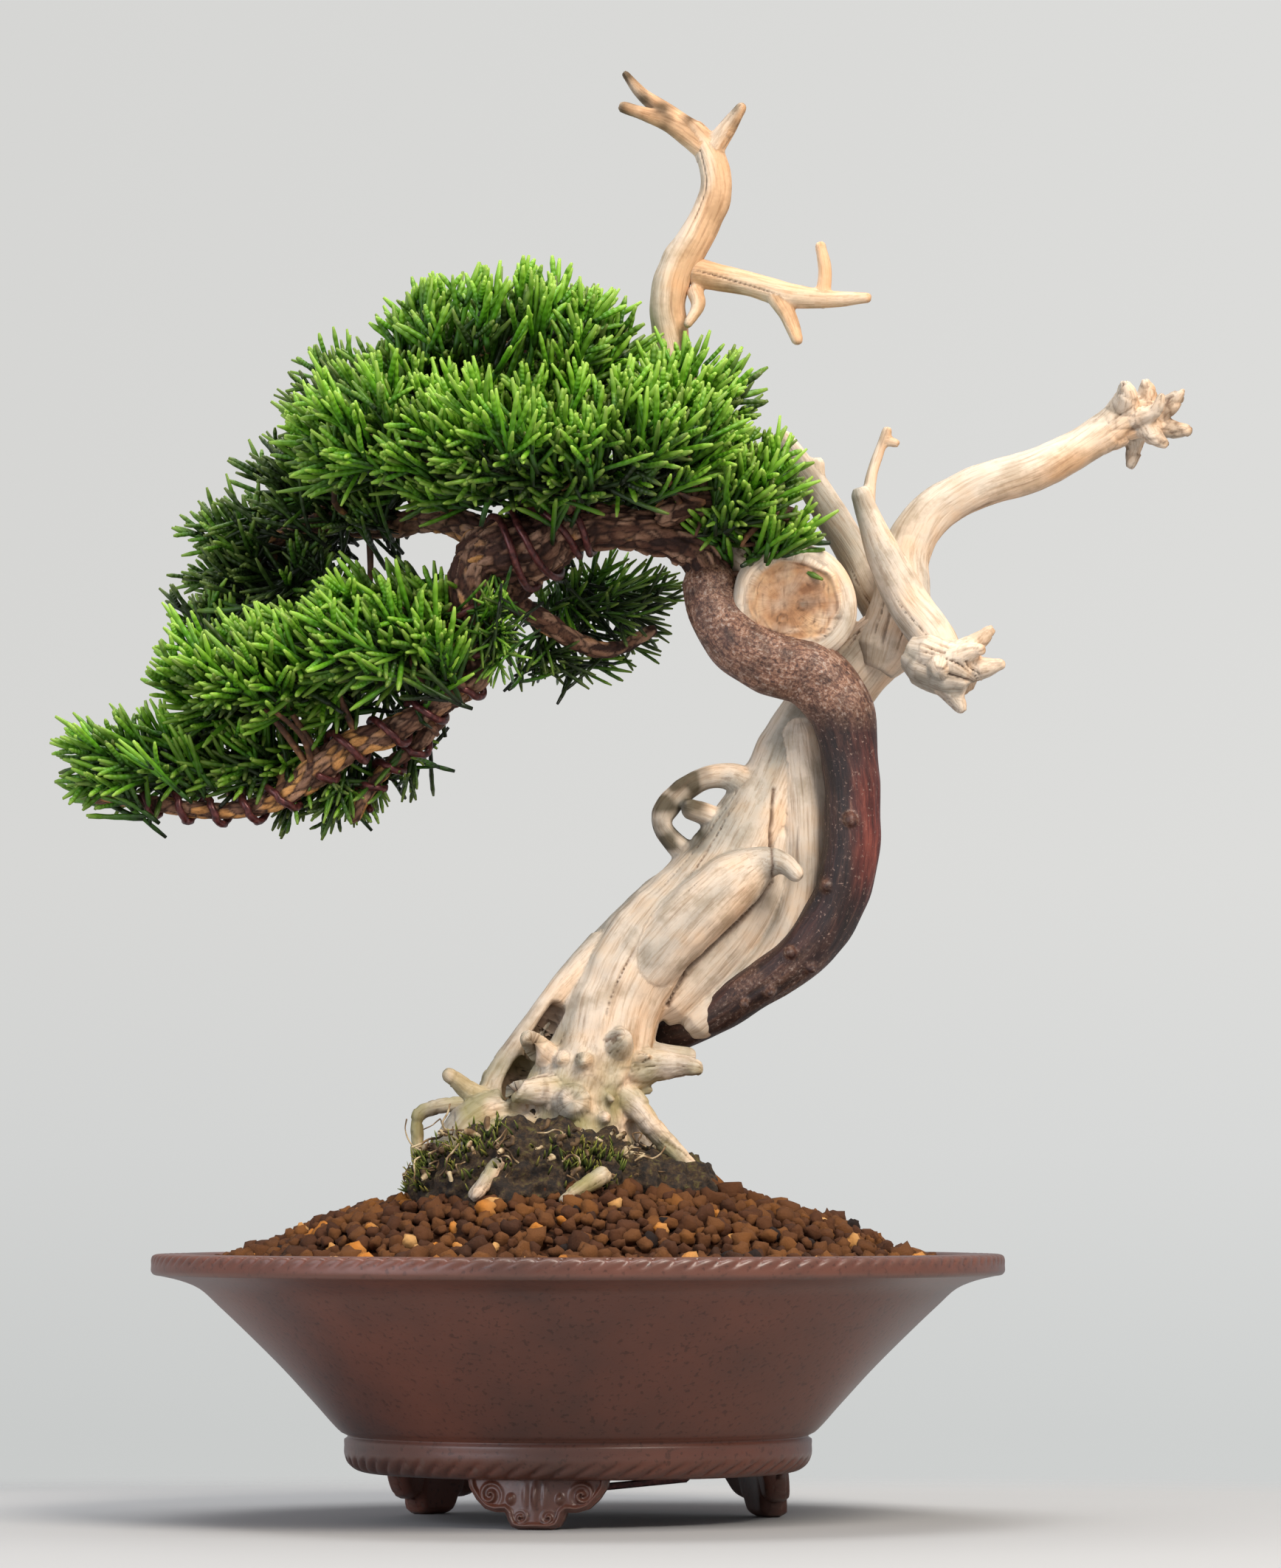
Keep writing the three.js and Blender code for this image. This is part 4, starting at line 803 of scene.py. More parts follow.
buds = [[[x, y, z, 2.2], [x + 0.3, y - 1.0, z - 0.3, 1.8]] for x, y, z in VEIN_BUDS]
points, faces, normals = melted([tube(row, 20, 0.8) for row in [LIVE_VEIN, *buds]], 0.4, 4)
grain, _ = grain_of(points, [LIVE_VEIN], 0.015)
swell = 0.35 * field(points, 6.0) + 0.55 * field(grain, (5.5, 5.5, 40), 8.0)
swell += 0.16 * field(grain, (1.2, 1.2, 6))
vein = new_object("vein_bark", points + normals * swell[:, None], faces)
note(vein, "grain", grain)
height = points[:, 2]
patchy = np.clip(0.5 + 2.6 * field(grain, (2.6, 2.6, 5), 3.0), 0, 1)
broken = np.clip(0.8 + 0.7 * field(points, 2.4, 3.0), 0, 1)
left_on = bell(height - OLD_SCALE_AT, 12) * 0.4 * patchy
left_on += np.clip((height - OLD_SCALE_FROM) / 6, 0, 1) * broken
to_bud = np.min([np.linalg.norm(points - bud, axis=1) for bud in VEIN_BUDS], 0)
on_buds = np.clip(1.2 - to_bud / 1.6, 0, 1)
note(vein, "warmth", np.clip(np.maximum(left_on, on_buds * 0.8), 0, 1))
# Painted sheen: the red skin is laid paler along the right edge, where the key light falls; the noise adds
# its own red patches all over.
rubbed = bell(height - RED_AND_SHEEN_AT, 24) * np.clip((points[:, 0] - 50.5) / 2.5, 0, 1)
note(vein, "redness", np.clip(0.9 * rubbed + 0.3 * field(grain, (3, 3, 14), 5.0), 0, 1))
place(vein, brushed_bark, "vein_bark", "live_vein")

# ---------------------------------------------------------------------------------------------
# The branches: living wood under old bark, which lifts in brown plates with orange-tan edges where
# each plate has come away. They bend where they were wired.
BRANCHES = {
    "main_branch": [[24.8, -1.8, 177.6, 8.6], [22.5, -1.6, 182.2, 8.4], [16.5, -2, 185, 8],
                    [7, -3, 186.4, 8], [-2, -4, 186, 9.6], [-8.5, -4, 182.5, 13], [-14, -4, 181.5, 12.6],
                    [-19.5, -4, 180.5, 10]],
    "lower_branch": [[-18.5, -4, 180, 9.6], [-20.6, -4.4, 174.4, 9.2], [-19.4, -5, 166.5, 7.8],
                     [-18.6, -5, 160.4, 6.6], [-22, -5, 156, 5.6], [-28.6, -5, 151.4, 4.6],
                     [-36.3, -5, 147.2, 5], [-43.5, -5, 144.6, 5.8], [-49.8, -5, 140, 5.6],
                     [-55, -4.6, 135.8, 4.4], [-61, -4, 133.4, 3.6], [-69, -4, 132.9, 3.2],
                     [-77, -4, 133.8, 3], [-84, -4, 134.7, 2.6], [-92, -4, 135.4, 2.2]],
    "back_low_branch": [[-10.5, -2, 177.4, 7.5], [-12.5, 1, 173, 5], [-6.3, 6, 169.4, 4],
                        [0, 10, 165.5, 3.6], [7, 13, 164.6, 3], [14, 16, 168.5, 2.4]],
    "fork_branch": [[-26, -1.6, 151.2, 4], [-30.6, 1.5, 145.4, 3], [-36, 2.6, 141.4, 2.8],
                    [-40, 2.6, 136.6, 2.6], [-42.6, 2.6, 131.6, 2.4]],
    "apex_branch": [[-6.4, 1.2, 185.4, 8], [-8, 2.4, 193, 6.6], [-12, 1, 203, 5.4], [-10.5, -1, 214, 4.4],
                    [-13, -2, 224, 3.4]],
    "back_left_branch": [[-15.5, 2, 184, 6.6], [-26, 8, 189, 5.4], [-38, 13, 188, 4.4],
                         [-50, 16, 189, 3.8], [-62, 18, 184, 3]],
    "right_branch": [[16, -6, 188.6, 5], [24, -9, 190.4, 4.4], [32, -9, 189.4, 3.8], [40, -8.5, 188, 3]],
    "front_branch": [[-2, -9, 190.4, 5], [-5, -16, 195, 4.4], [-14, -22, 199, 3.4], [-22, -26, 201, 2.8]],
}

# Old juniper bark: matt plates 1.5 mm across, tan where they have lifted, with fibres 0.8 mm apart.
flaky_bark, tree = blank("flaking_juniper_bark")
grain = add(tree, "Attribute", {"attribute_name": "grain"}).outputs["Vector"]
plate_edge = add(tree, "Attribute", {"attribute_name": "hollow"}).outputs["Fac"]
plate_tone = add(tree, "Attribute", {"attribute_name": "warmth"}).outputs["Fac"]
lengthwise = add(tree, "Mapping", inputs={"Vector": grain, "Scale": (1.0, 1.0, 0.4)})
fibre = add(tree, "TexNoise", inputs={"Vector": lengthwise, "Scale": 1 / 0.77, "Detail": 5.0,
                                      "Roughness": 0.7})
plates = add(tree, "ValToRGB", {"stops": [(0.0, "#33211c"), (0.3, "#5e3c2e"), (0.5, "#85604b"),
                                          (0.68, "#b08a72"), (0.82, "#c98f55"), (1.0, "#e0a767")]},
             {"Fac": plate_tone})
fibre_tone = add(tree, "ValToRGB", {"stops": [(0.3, "#7c6a62"), (0.55, "#ffffff")]}, {"Fac": fibre})
fibred = add(tree, "Mix", {"data_type": "RGBA", "blend_type": "MULTIPLY"},
             {0: 0.8, 6: plates, 7: fibre_tone})
gapped = add(tree, "Mix", {"data_type": "RGBA"}, {0: plate_edge, 6: fibred, 7: "#2a1813"})
bark_bump = add(tree, "Bump", inputs={"Strength": 0.6, "Distance": 0.4 * MM, "Height": fibre})
plate_skin = add(tree, "BsdfPrincipled", inputs={"Base Color": gapped, "Roughness": 0.75,
                                                 "Specular IOR Level": 0.3, "Normal": bark_bump})
close(tree, plate_skin)


for name, row in BRANCHES.items():
    points, faces, normals = melted([tube(row, 14, 0.8)], 0.36, 2)
    grain, radius = grain_of(points, [row], 0.03)
    edge, tone = cells(grain, (1.5, 1.5, 3.6))
    size = np.clip(radius / 3, 0.4, 1.3)
    lift = size * (0.42 * np.clip(edge * 3, 0, 1) + 0.3 * tone + 0.5 * field(points, 3.4) - 0.35)
    made = new_object(name + "_bark", points + normals * lift[:, None], faces)
    note(made, "grain", grain)
    note(made, "hollow", np.clip(1 - edge * 5, 0, 1))
    paler = 0.2 * np.clip((-8 - points[:, 0]) / 25, 0, 1)
    note(made, "warmth", np.clip(tone * 0.7 + 0.3 * field(points, 5.0) + paler, 0, 1))
    place(made, flaky_bark, "branch_bark", name)

# ---------------------------------------------------------------------------------------------
# The training wires: anodised aluminium, 1.4 mm thick, wound round the branches in even turns and
# left on until the wood has set.
WIRE = 1.4
WIRES = {  # branch, how far along it the wire starts and ends, turns, start round it in turns
    "wire_main_upper": ("main_branch", 0.52, 0.93, 2, 0.1),
    "wire_main_lower": ("main_branch", 0.52, 0.93, 2, 0.42),
    "wire_lower_branch": ("lower_branch", 0.06, 0.56, 6.5, 0.2),
    "wire_branch_tip": ("lower_branch", 0.62, 0.9, 4.5, 0.4),
    "wire_fork": ("fork_branch", 0.2, 0.9, 3.5, 0),
}


def wound(row, start, end, winds, first):
    """The wire's middle, as a row of [x, y, z, diameter], round a branch."""
    path = smooth_row(row, 0.5)
    _, across, over = frames(path[:, :3])
    share = np.linspace(0, 1, int(winds * 18))
    index = np.clip(((start + (end - start) * share) * (len(path) - 1)).astype(int), 0, len(path) - 1)
    angle = 2 * math.pi * (winds * share + first)
    reach = path[index, 3] / 2 + WIRE / 2 + 0.25
    middle = path[index, :3] + (across[index] * np.cos(angle)[:, None]
                                + over[index] * np.sin(angle)[:, None]) * reach[:, None]
    return np.hstack([middle, np.full((len(middle), 1), WIRE)])


for name, (branch, start, end, winds, first) in WIRES.items():
    coil = wound(BRANCHES[branch], start, end, winds, first)
    made = new_object(name + "_wound", *tube(coil, 10, 0.7))
    place(made, wire_metal, "wire", name)

# ---------------------------------------------------------------------------------------------
# The soil: baked clay granules, 2 to 5 mm, heaped round the tree. A bed of fines lies under one
# layer of separate grains, each a lump of its own, most of them brown and a few orange, tan or grey.
SOIL_TOP = [[0, 64], [20, 63.5], [28, 62], [36, 59.4], [49, 55.4], [57, 51.4], [62, 49.4], [70.4, 45.6]]
SOIL_EDGE = INNER_RIM - 0.6
GRAIN_GAP = 2.2
GRAIN_TRIES = 26000
soil_line = smooth_row(SOIL_TOP, 0.5)


def soil_height(radius):
    """The height of the soil's surface at a distance from the pot's axis."""
    return np.interp(radius, soil_line[:, 0], soil_line[:, 1])


bed_profile = np.vstack([[[0.01, 15.9], [30, 15.9], [43.6, 22.8], [58, 38.2]], soil_line[::-1]])
bed_profile[-1, 0] = 0.01


def rough_bed(angle, radius, height):
    """Roughens the bed's top and sinks it under the grains that lie on it."""
    at = np.stack([radius * np.cos(angle), radius * np.sin(angle), height], -1).reshape(-1, 3)
    rough = field(at, 2.4).reshape(radius.shape)
    sunk = np.interp(radius, [56, 68], [2.0, 1.0])
    return radius, height + np.where(height > 44, rough * 0.9 - sunk, 0.0)


bed = new_object("soil_bed", *turned(bed_profile, 220, rough_bed))

baked_clay, tree = blank("baked_clay_granules")  # matt and porous: pores about 0.3 mm
tone = add(tree, "UVMap", {"uv_map": "OFBake"})
parts = add(tree, "SeparateXYZ", inputs={0: tone})
grain_colour = add(tree, "ValToRGB", {"stops": [(0.0, "#241d1b"), (0.06, "#35241b"), (0.3, "#50311f"),
                                                (0.6, "#684224"), (0.82, "#825226"), (0.9, "#b8742f"),
                                                (1.0, "#c79a62")]}, {"Fac": parts.outputs["X"]})
# Painted shade: each grain is darker towards its underside and full colour on top.
underside_shade = add(tree, "ValToRGB", {"stops": [(0.0, "#8c7a70"), (0.6, "#ffffff")]},
             {"Fac": parts.outputs["Y"]})
grain_shade = add(tree, "Mix", {"data_type": "RGBA", "blend_type": "MULTIPLY"},
                  {0: 1.0, 6: grain_colour, 7: underside_shade})
where = add(tree, "TexCoord").outputs["Object"]
pores = add(tree, "TexNoise", inputs={"Vector": where, "Scale": 1 / (0.8 * MM), "Detail": 5.0,
                                      "Roughness": 0.75})
pore_bump = add(tree, "Bump", inputs={"Strength": 0.8, "Distance": 0.4 * MM, "Height": pores})
granule = add(tree, "BsdfPrincipled", inputs={"Base Color": grain_shade, "Roughness": 0.9,
                                              "Specular IOR Level": 0.2, "Normal": pore_bump})
close(tree, granule)

fines, tree = blank("clay_fines")  # dark dust between the grains, in crumbs of 1.4 mm
where = add(tree, "TexCoord").outputs["Object"]
dust = add(tree, "TexNoise", inputs={"Vector": where, "Scale": 1 / (1.43 * MM), "Detail": 4.0})
dust_tone = add(tree, "ValToRGB", {"stops": [(0.35, "#24160e"), (0.65, "#4d2f1d")]}, {"Fac": dust})
matt = add(tree, "BsdfPrincipled", inputs={"Base Color": dust_tone, "Roughness": 0.95,
                                           "Specular IOR Level": 0.1})
close(tree, matt)
place(bed, fines, "soil", "soil")


def lump(splits):
    """Points and faces of a ball whose faces are a cube's, split evenly."""
    steps = np.linspace(-1, 1, splits + 1)
    keys, points, faces = {}, [], []
    for axis in range(3):
        for sign in (-1, 1):
            index = {}
            for i, a in enumerate(steps):
                for j, b in enumerate(steps):
                    p = np.zeros(3)
                    p[axis], p[(axis + 1) % 3], p[(axis + 2) % 3] = sign, a, b
                    key = tuple(np.round(p, 4))
                    if key not in keys:
                        keys[key] = len(points)
                        points.append(p / np.linalg.norm(p) ** 0.75)
                    index[i, j] = keys[key]
            for i in range(splits):
                for j in range(splits):
                    face = [index[i, j], index[i + 1, j], index[i + 1, j + 1], index[i, j + 1]]
                    faces.append(face if sign > 0 else face[::-1])
    return np.array(points), faces


def scattered(rng, count, low, high, gap, allowed):
    """Points on the ground no nearer each other than `gap`, where `allowed` says they may be."""
    kept = np.zeros((0, 2))
    for _ in range(count):
        point = rng.uniform(low, high, 2)
        if not allowed(*point):
            continue
        if len(kept) and (np.abs(kept - point).sum(1) < 3 * gap).any():
            near = kept[np.abs(kept - point).sum(1) < 3 * gap]
            if (np.hypot(*(near - point).T) < gap).any():
                continue
        kept = np.vstack([kept, point])
    return kept


def turned_about(rng):
    """A random turn, as a matrix."""
    q = rng.normal(size=4)
    w, x, y, z = q / np.linalg.norm(q)
    return np.array([[1 - 2 * (y * y + z * z), 2 * (x * y - z * w), 2 * (x * z + y * w)],
                     [2 * (x * y + z * w), 1 - 2 * (x * x + z * z), 2 * (y * z - x * w)],
                     [2 * (x * z - y * w), 2 * (y * z + x * w), 1 - 2 * (x * x + y * y)]])


def paint_uv(made, values):
    """Gives each face corner its material's two numbers, by point."""
    layer = made.data.uv_layers.new(name="OFBake")
    corner = np.zeros(len(made.data.loops), int)
    made.data.loops.foreach_get("vertex_index", corner)
    layer.data.foreach_set("uv", np.ravel(np.asarray(values)[corner]))


def open_soil(x, y):
    """Whether a grain may lie there: inside the pot's rim and clear of the root mound."""
    return math.hypot(x, y) < SOIL_EDGE - 1.2 and ((x + 1) / 21) ** 2 + ((y + 3) / 22) ** 2 > 1


rng = np.random.default_rng(11)
spots = scattered(rng, GRAIN_TRIES, -SOIL_EDGE, SOIL_EDGE, GRAIN_GAP, open_soil)
base_points, base_faces = lump(3)
heaps = {"front": [], "right": [], "back": [], "left": []}
paints = {"front": [], "right": [], "back": [], "left": []}
for x, y in spots:
    radius = math.hypot(x, y)
    across = rng.uniform(1.9, 3.2) if rng.random() < 0.8 else rng.uniform(3.2, 4.6)
    across = min(across, 2.8 + 0.3 * max(SOIL_EDGE - radius, 0))
    stretch = rng.uniform(0.72, 1.15, 3)
    shape = base_points * stretch
    shift = rng.uniform(0, 90, 3)
    bumps = np.array([noise.noise(Vector(p * 1.3 + shift)) for p in shape])
    shape = (shape * (1 + 0.6 * bumps[:, None])) @ turned_about(rng)
    rise = rng.uniform(-0.8, 0.8) + across * 0.1
    rise += np.interp(radius, [30, 50, 60, 66, 70], [-1.5, -1.0, -1.3, 0.0, 0.5])
    middle = np.array([x, y, soil_height(radius) + rise])
    tone = rng.beta(3.2, 3.2) * 0.78 + 0.04
    near_rim = radius > SOIL_EDGE - 7
    if rng.random() < (0.3 if near_rim else 0.035):
        tone = rng.uniform(0.86, 1.0)
    elif rng.random() < 0.02:
        tone = 0.0
    quarter = ("right", "back", "left", "front")[int(((math.degrees(math.atan2(y, x)) + 45) % 360) // 90)]
    heaps[quarter].append((shape * across / 2 + middle, base_faces))
    # Painted shade: the second number is each grain's height within itself, so its underside is painted
    # darker.
    shade_by_height = np.clip(shape[:, 2] * 0.45 + 0.62, 0.02, 0.98)
    tones = np.clip(tone + 0.03 * shape[:, 0], 0.005, 0.995)
    paints[quarter].append(np.stack([tones, shade_by_height], 1))
for quarter, heap in heaps.items():
    grains = new_object("soil_grains_" + quarter, *merged(heap))
    paint_uv(grains, np.vstack(paints[quarter]))
    place(grains, baked_clay, "soil")

# ---------------------------------------------------------------------------------------------
# The root mound: dark muck and old roots packed round the tree's foot, where moss, white rootlets
# and bits of dead root show. The moss grows in cushions of short upright shoots.
ROOT_MOUND = [[-8, -5, 61, 24, 26, 15.5], [12, -1, 60.5, 16, 22, 10]]
DEAD_ROOTS = {
    "dead_root_right": [[-2.5, -32, 59.6, 2.4], [1, -31, 62.2, 3], [5, -29.4, 64.6, 3.6]],
    "dead_root_left": [[-19, -28, 60.5, 2.6], [-16.5, -27.6, 63.6, 3.4], [-14.5, -26, 67, 3]],
}
MOSS_SPOTS = {  # degrees round the mound, degrees up it, spread in mm, shoots
    "moss_front": (-128, 34, 7.0, 130),
    "moss_front_right": (-62, 22, 6.0, 110),
    "moss_left": (-166, 18, 6.0, 120),
    "moss_back": (95, 24, 9.0, 360),
}

leaf_mould, tree = blank("damp_muck")  # wet peat and roots: dark, in crumbs of 1.6 mm, faintly shiny
where = add(tree, "TexCoord").outputs["Object"]
crumb = add(tree, "TexNoise", inputs={"Vector": where, "Scale": 1 / (1.61 * MM), "Detail": 6.0,
                                      "Roughness": 0.7})
crumb_tone = add(tree, "ValToRGB", {"stops": [(0.34, "#100a06"), (0.46, "#291d11"), (0.55, "#46331f"),
                                              (0.66, "#5d562a")]}, {"Fac": crumb})
crumb_bump = add(tree, "Bump", inputs={"Strength": 1.0, "Distance": 0.9 * MM, "Height": crumb})
muck = add(tree, "BsdfPrincipled", inputs={"Base Color": crumb_tone, "Roughness": 0.8,
                                           "Normal": crumb_bump})
close(tree, muck)

ball_points, ball_faces = lump(10)
ball_points = ball_points / np.linalg.norm(ball_points, axis=1)[:, None]
balls = [(ball_points * row[3:] + row[:3], ball_faces) for row in ROOT_MOUND]
points, faces, normals = melted(balls, 0.6, 3)
rough = 2.0 * field(points, 5.0) + 1.5 * field(points, 2.4, 4.0) + 0.7 * field(points, 1.1, 8.0) - 0.9
mound = new_object("mound_muck", points + normals * rough[:, None], faces)
place(mound, leaf_mould, "muck", "root_mound")

for name, row in DEAD_ROOTS.items():
    deadwood(name + "_bleached", [row], [name], 0.3, 1.0, 0.6, 0.55)

moss_green, tree = blank("cushion_moss")  # fresh green tips over brown-green stems, no gloss
tone = add(tree, "UVMap", {"uv_map": "OFBake"})
parts = add(tree, "SeparateXYZ", inputs={0: tone})
lively = add(tree, "ValToRGB", {"stops": [(0.0, "#181c0a"), (0.4, "#333f14"), (0.8, "#5f6b28"),
                                          (1.0, "#8a8c3e")]}, {"Fac": parts.outputs["X"]})
dry = add(tree, "ValToRGB", {"stops": [(0.0, "#231c0d"), (0.5, "#5a5220"), (1.0, "#9a8a3c")]},
          {"Fac": parts.outputs["X"]})
shoot = add(tree, "Mix", {"data_type": "RGBA"}, {0: parts.outputs["Y"], 6: lively, 7: dry})
moss_skin = add(tree, "BsdfPrincipled", inputs={"Base Color": shoot, "Roughness": 0.75,
                                                "Specular IOR Level": 0.25})
close(tree, moss_skin)


def fingers(starts, aims, lengths, widths, bends, radii, sides, tones):
    """Many small tapering shoots at once. Each has the same run of rings, whose radii are shares
    of its width, and bends sideways as it goes. Gives points, faces and their two numbers."""
    rings = len(radii)
    share = np.linspace(0, 1, rings)
    side = np.cross(aims, bends)
    side /= np.linalg.norm(side, axis=1)[:, None] + 1e-9
    over = np.cross(side, aims)
    middle = (starts[:, None] + aims[:, None] * (lengths[:, None] * share)[..., None]
              + bends[:, None] * (share ** 2)[None, :, None])
    angle = np.arange(sides) * 2 * math.pi / sides
    spoke = side[:, None] * np.cos(angle)[None, :, None] + over[:, None] * np.sin(angle)[None, :, None]
    width = widths[:, None] / 2 * np.array(radii)
    points = middle[:, :, None] + spoke[:, None] * width[:, :, None, None]
    one = rings * sides
    ring = [[i * sides + j, i * sides + (j + 1) % sides, (i + 1) * sides + (j + 1) % sides,
             (i + 1) * sides + j] for i in range(rings - 1) for j in range(sides)]
    ends = [list(range(sides))[::-1], list(range(one - sides, one))]
    count = len(starts)
    shift = (np.arange(count) * one)[:, None, None]
    faces = (np.array(ring)[None] + shift).reshape(-1, 4).tolist()
    faces += (np.array(ends)[None] + shift).reshape(-1, sides).tolist()
    along = np.repeat(np.clip(share, 0.01, 0.99)[None, :, None], count, 0)
    along = np.repeat(along, sides, 2) + 0.008 * np.cos(angle)
    tone = np.repeat(np.repeat(tones[:, None, None], rings, 1), sides, 2) + 0.008 * np.sin(angle)
    return points.reshape(-1, 3), faces, np.stack([along, tone], -1).reshape(-1, 2)


rng = np.random.default_rng(23)
for name, (degrees, up, spread, count) in MOSS_SPOTS.items():
    x, y, z, half_x, half_y, half_z = ROOT_MOUND[0]
    around = math.radians(degrees) + rng.normal(0, spread / 30, count)
    rise = np.clip(math.radians(up) + rng.normal(0, spread / 32, count), 0.02, 1.2)
    out = np.stack([np.cos(rise) * np.cos(around), np.cos(rise) * np.sin(around), np.sin(rise)], 1)
    starts = out * [half_x, half_y, half_z] + [x, y, z] - out * 0.5
    clump = field(starts, 3.0)
    aims = out * 0.6 + [0, 0, 0.7] + rng.normal(0, 0.3, (count, 3))
    aims /= np.linalg.norm(aims, axis=1)[:, None]
    lengths = rng.uniform(1.2, 2.5, count) * (1 + 0.5 * clump)
    points, faces, values = fingers(starts, aims, lengths, rng.uniform(0.35, 0.6, count),
                                    rng.normal(0, 0.5, (count, 3)), [1, 1.2, 0.8, 0.25], 4,
                                    np.clip(0.3 - clump + rng.normal(0, 0.15, count), 0.01, 0.99))
    cushion = new_object(name + "_cushion", points, faces)
    paint_uv(cushion, values)
    place(cushion, moss_green, "moss", name)

# White rootlets, thin as thread, and crumbs of root and bark lie loose on the muck.
THREADS = 30
CRUMBS = 55
rng = np.random.default_rng(31)
threads = []
for count in range(THREADS + CRUMBS):
    around = rng.uniform(math.radians(-185), math.radians(5))
    rise = rng.uniform(0.1, 0.85)
    middle, half = np.array(ROOT_MOUND[0][:3]), np.array(ROOT_MOUND[0][3:]) + 1.0
    at = middle + half * [math.cos(rise) * math.cos(around), math.cos(rise) * math.sin(around),
                          math.sin(rise)]
    row = []
    step = rng.normal(0, 1, 3)
    is_thread = count < THREADS
    thick = rng.uniform(0.25, 0.5) if is_thread else rng.uniform(0.5, 1.4)
    for _ in range(5 if is_thread else 3):
        row.append([*at, thick * rng.uniform(0.7, 1.1)])
        step = step * 0.6 + rng.normal(0, 1, 3) * 0.7
        step[1] = min(step[1], 0.2)
        at = at + step / np.linalg.norm(step) * (1.8 if is_thread else thick * 0.9)
    threads.append(tube(row, 6, 0.6))
rootlets = new_object("rootlets_loose", *merged(threads))
dry_root, tree = blank("dry_rootlet")  # papery, off white to straw, in patches of 3 mm
where = add(tree, "TexCoord").outputs["Object"]
straw = add(tree, "TexNoise", inputs={"Vector": where, "Scale": 1 / (3.33 * MM), "Detail": 3.0})
straw_tone = add(tree, "ValToRGB", {"stops": [(0.4, "#3d2c1b"), (0.52, "#7a5f3f"), (0.62, "#c4b08c")]},
                 {"Fac": straw})
papery = add(tree, "BsdfPrincipled", inputs={"Base Color": straw_tone, "Roughness": 0.8})
close(tree, papery)
place(rootlets, dry_root, "deadwood")

# ---------------------------------------------------------------------------------------------
# The foliage: pads of juniper shoots. A shoot is a blunt cord of tiny scale leaves, 1.2 mm thick and
# up to 17 mm long, which forks into a flat spray of four or five more; thin brown twigs carry some of
# them. Each pad is a few flattened balls, [x, y, z, half width, half depth, half height].
PADS = {
    "foliage_apex": [[-13, -2, 225.5, 21, 24, 9], [-2, -2, 222, 13.5, 18, 10], [-27, 0, 221.5, 11.5, 15, 9],
                     [-8, 2, 213, 27, 17, 8]],
    "foliage_middle_left": [[-36.5, -6, 204, 18.5, 25, 13.5], [-18, -12, 201, 23, 29, 13.5]],
    "foliage_middle_right": [[9, -8, 201.5, 25, 30, 14.5], [21, -2, 210.5, 13.5, 21, 10.5],
                             [31, -5, 194.5, 12, 18, 12], [38, -8, 185.5, 7.5, 10, 5.5]],
    "foliage_back_left": [[-62, 20, 181.5, 15, 18, 13], [-50, 20, 196, 17, 22, 14],
                          [-43, 12, 213.5, 13, 18, 9.5], [-66.5, 16, 189, 9.5, 12, 6],
                          [-71, 14, 172.5, 8, 9, 4]],
    "foliage_lower": [[-63.5, -9, 157.5, 18.5, 20, 11], [-43, -11, 163, 21, 22, 11.5],
                      [-37, -8, 173, 10, 12, 6]],
    "foliage_branch_tip": [[-85, -4, 141.5, 14.5, 15, 9.5], [-67, 2, 142.5, 14, 14, 8.5],
                           [-87, -4, 137, 11, 10, 3]],
    "foliage_hanging": [[-50, 6, 135, 13.5, 12, 7], [-36, 6, 140.5, 6, 8, 4], [-46, 0, 153, 13, 10, 5],
                        [-65, 2, 147.5, 13, 10, 4.5]],
    "foliage_back_low": [[7.5, 19, 172, 14.5, 13, 11.5], [-1, 15, 162, 9, 10, 5.5]],
    "foliage_tuft": [[-15.5, -13, 164.5, 5, 6, 8]],
}
# How bright a pad is also paints shade: the pads at the back and underneath are made darker.
PAD_WAYS = {  # which way the shoots lean, how bright they are, how densely they stand, how thick
    "foliage_apex": ((0.1, -0.1, 0.75), 0.72, 1.0, 1.0),
    "foliage_middle_left": ((-0.3, -0.25, 0.4), 0.76, 1.0, 1.0),
    "foliage_middle_right": ((0.25, -0.2, 0.5), 0.68, 1.0, 1.0),
    "foliage_back_left": ((-0.35, 0.0, 0.35), 0.24, 0.9, 0.9),
    "foliage_lower": ((-0.5, -0.25, 0.2), 0.76, 1.0, 1.0),
    "foliage_branch_tip": ((-0.6, -0.1, 0.15), 0.66, 0.85, 0.95),
    "foliage_hanging": ((-0.3, 0.0, -0.35), 0.35, 0.7, 0.8),
    "foliage_back_low": ((0.4, 0.0, -0.1), 0.36, 0.7, 0.7),
    "foliage_tuft": ((0.0, -0.3, -0.2), 0.6, 1.2, 0.6),
}
SHOOT = 1.16
SHOOT_RINGS = [0.72, 1.0, 0.86, 1.04, 0.92, 1.0, 0.5]
SHOOT_REACH = (11.5, 17.0)
FORK_SPREAD = (16, 42)
# Each layer of a pad: its size as a share of the pad, square mm to a shoot, and how much darker it is, as
# painted shade deeper inside the pad.
LAYERS = ((1.0, 58.0, 0.0), (0.85, 58.0, 0.35), (0.62, 70.0, 0.7))
GAP_X = (-47, -27)  # the see-through gap over the lower branch, where nearly no shoot stands
GAP_Z = (178, 189)

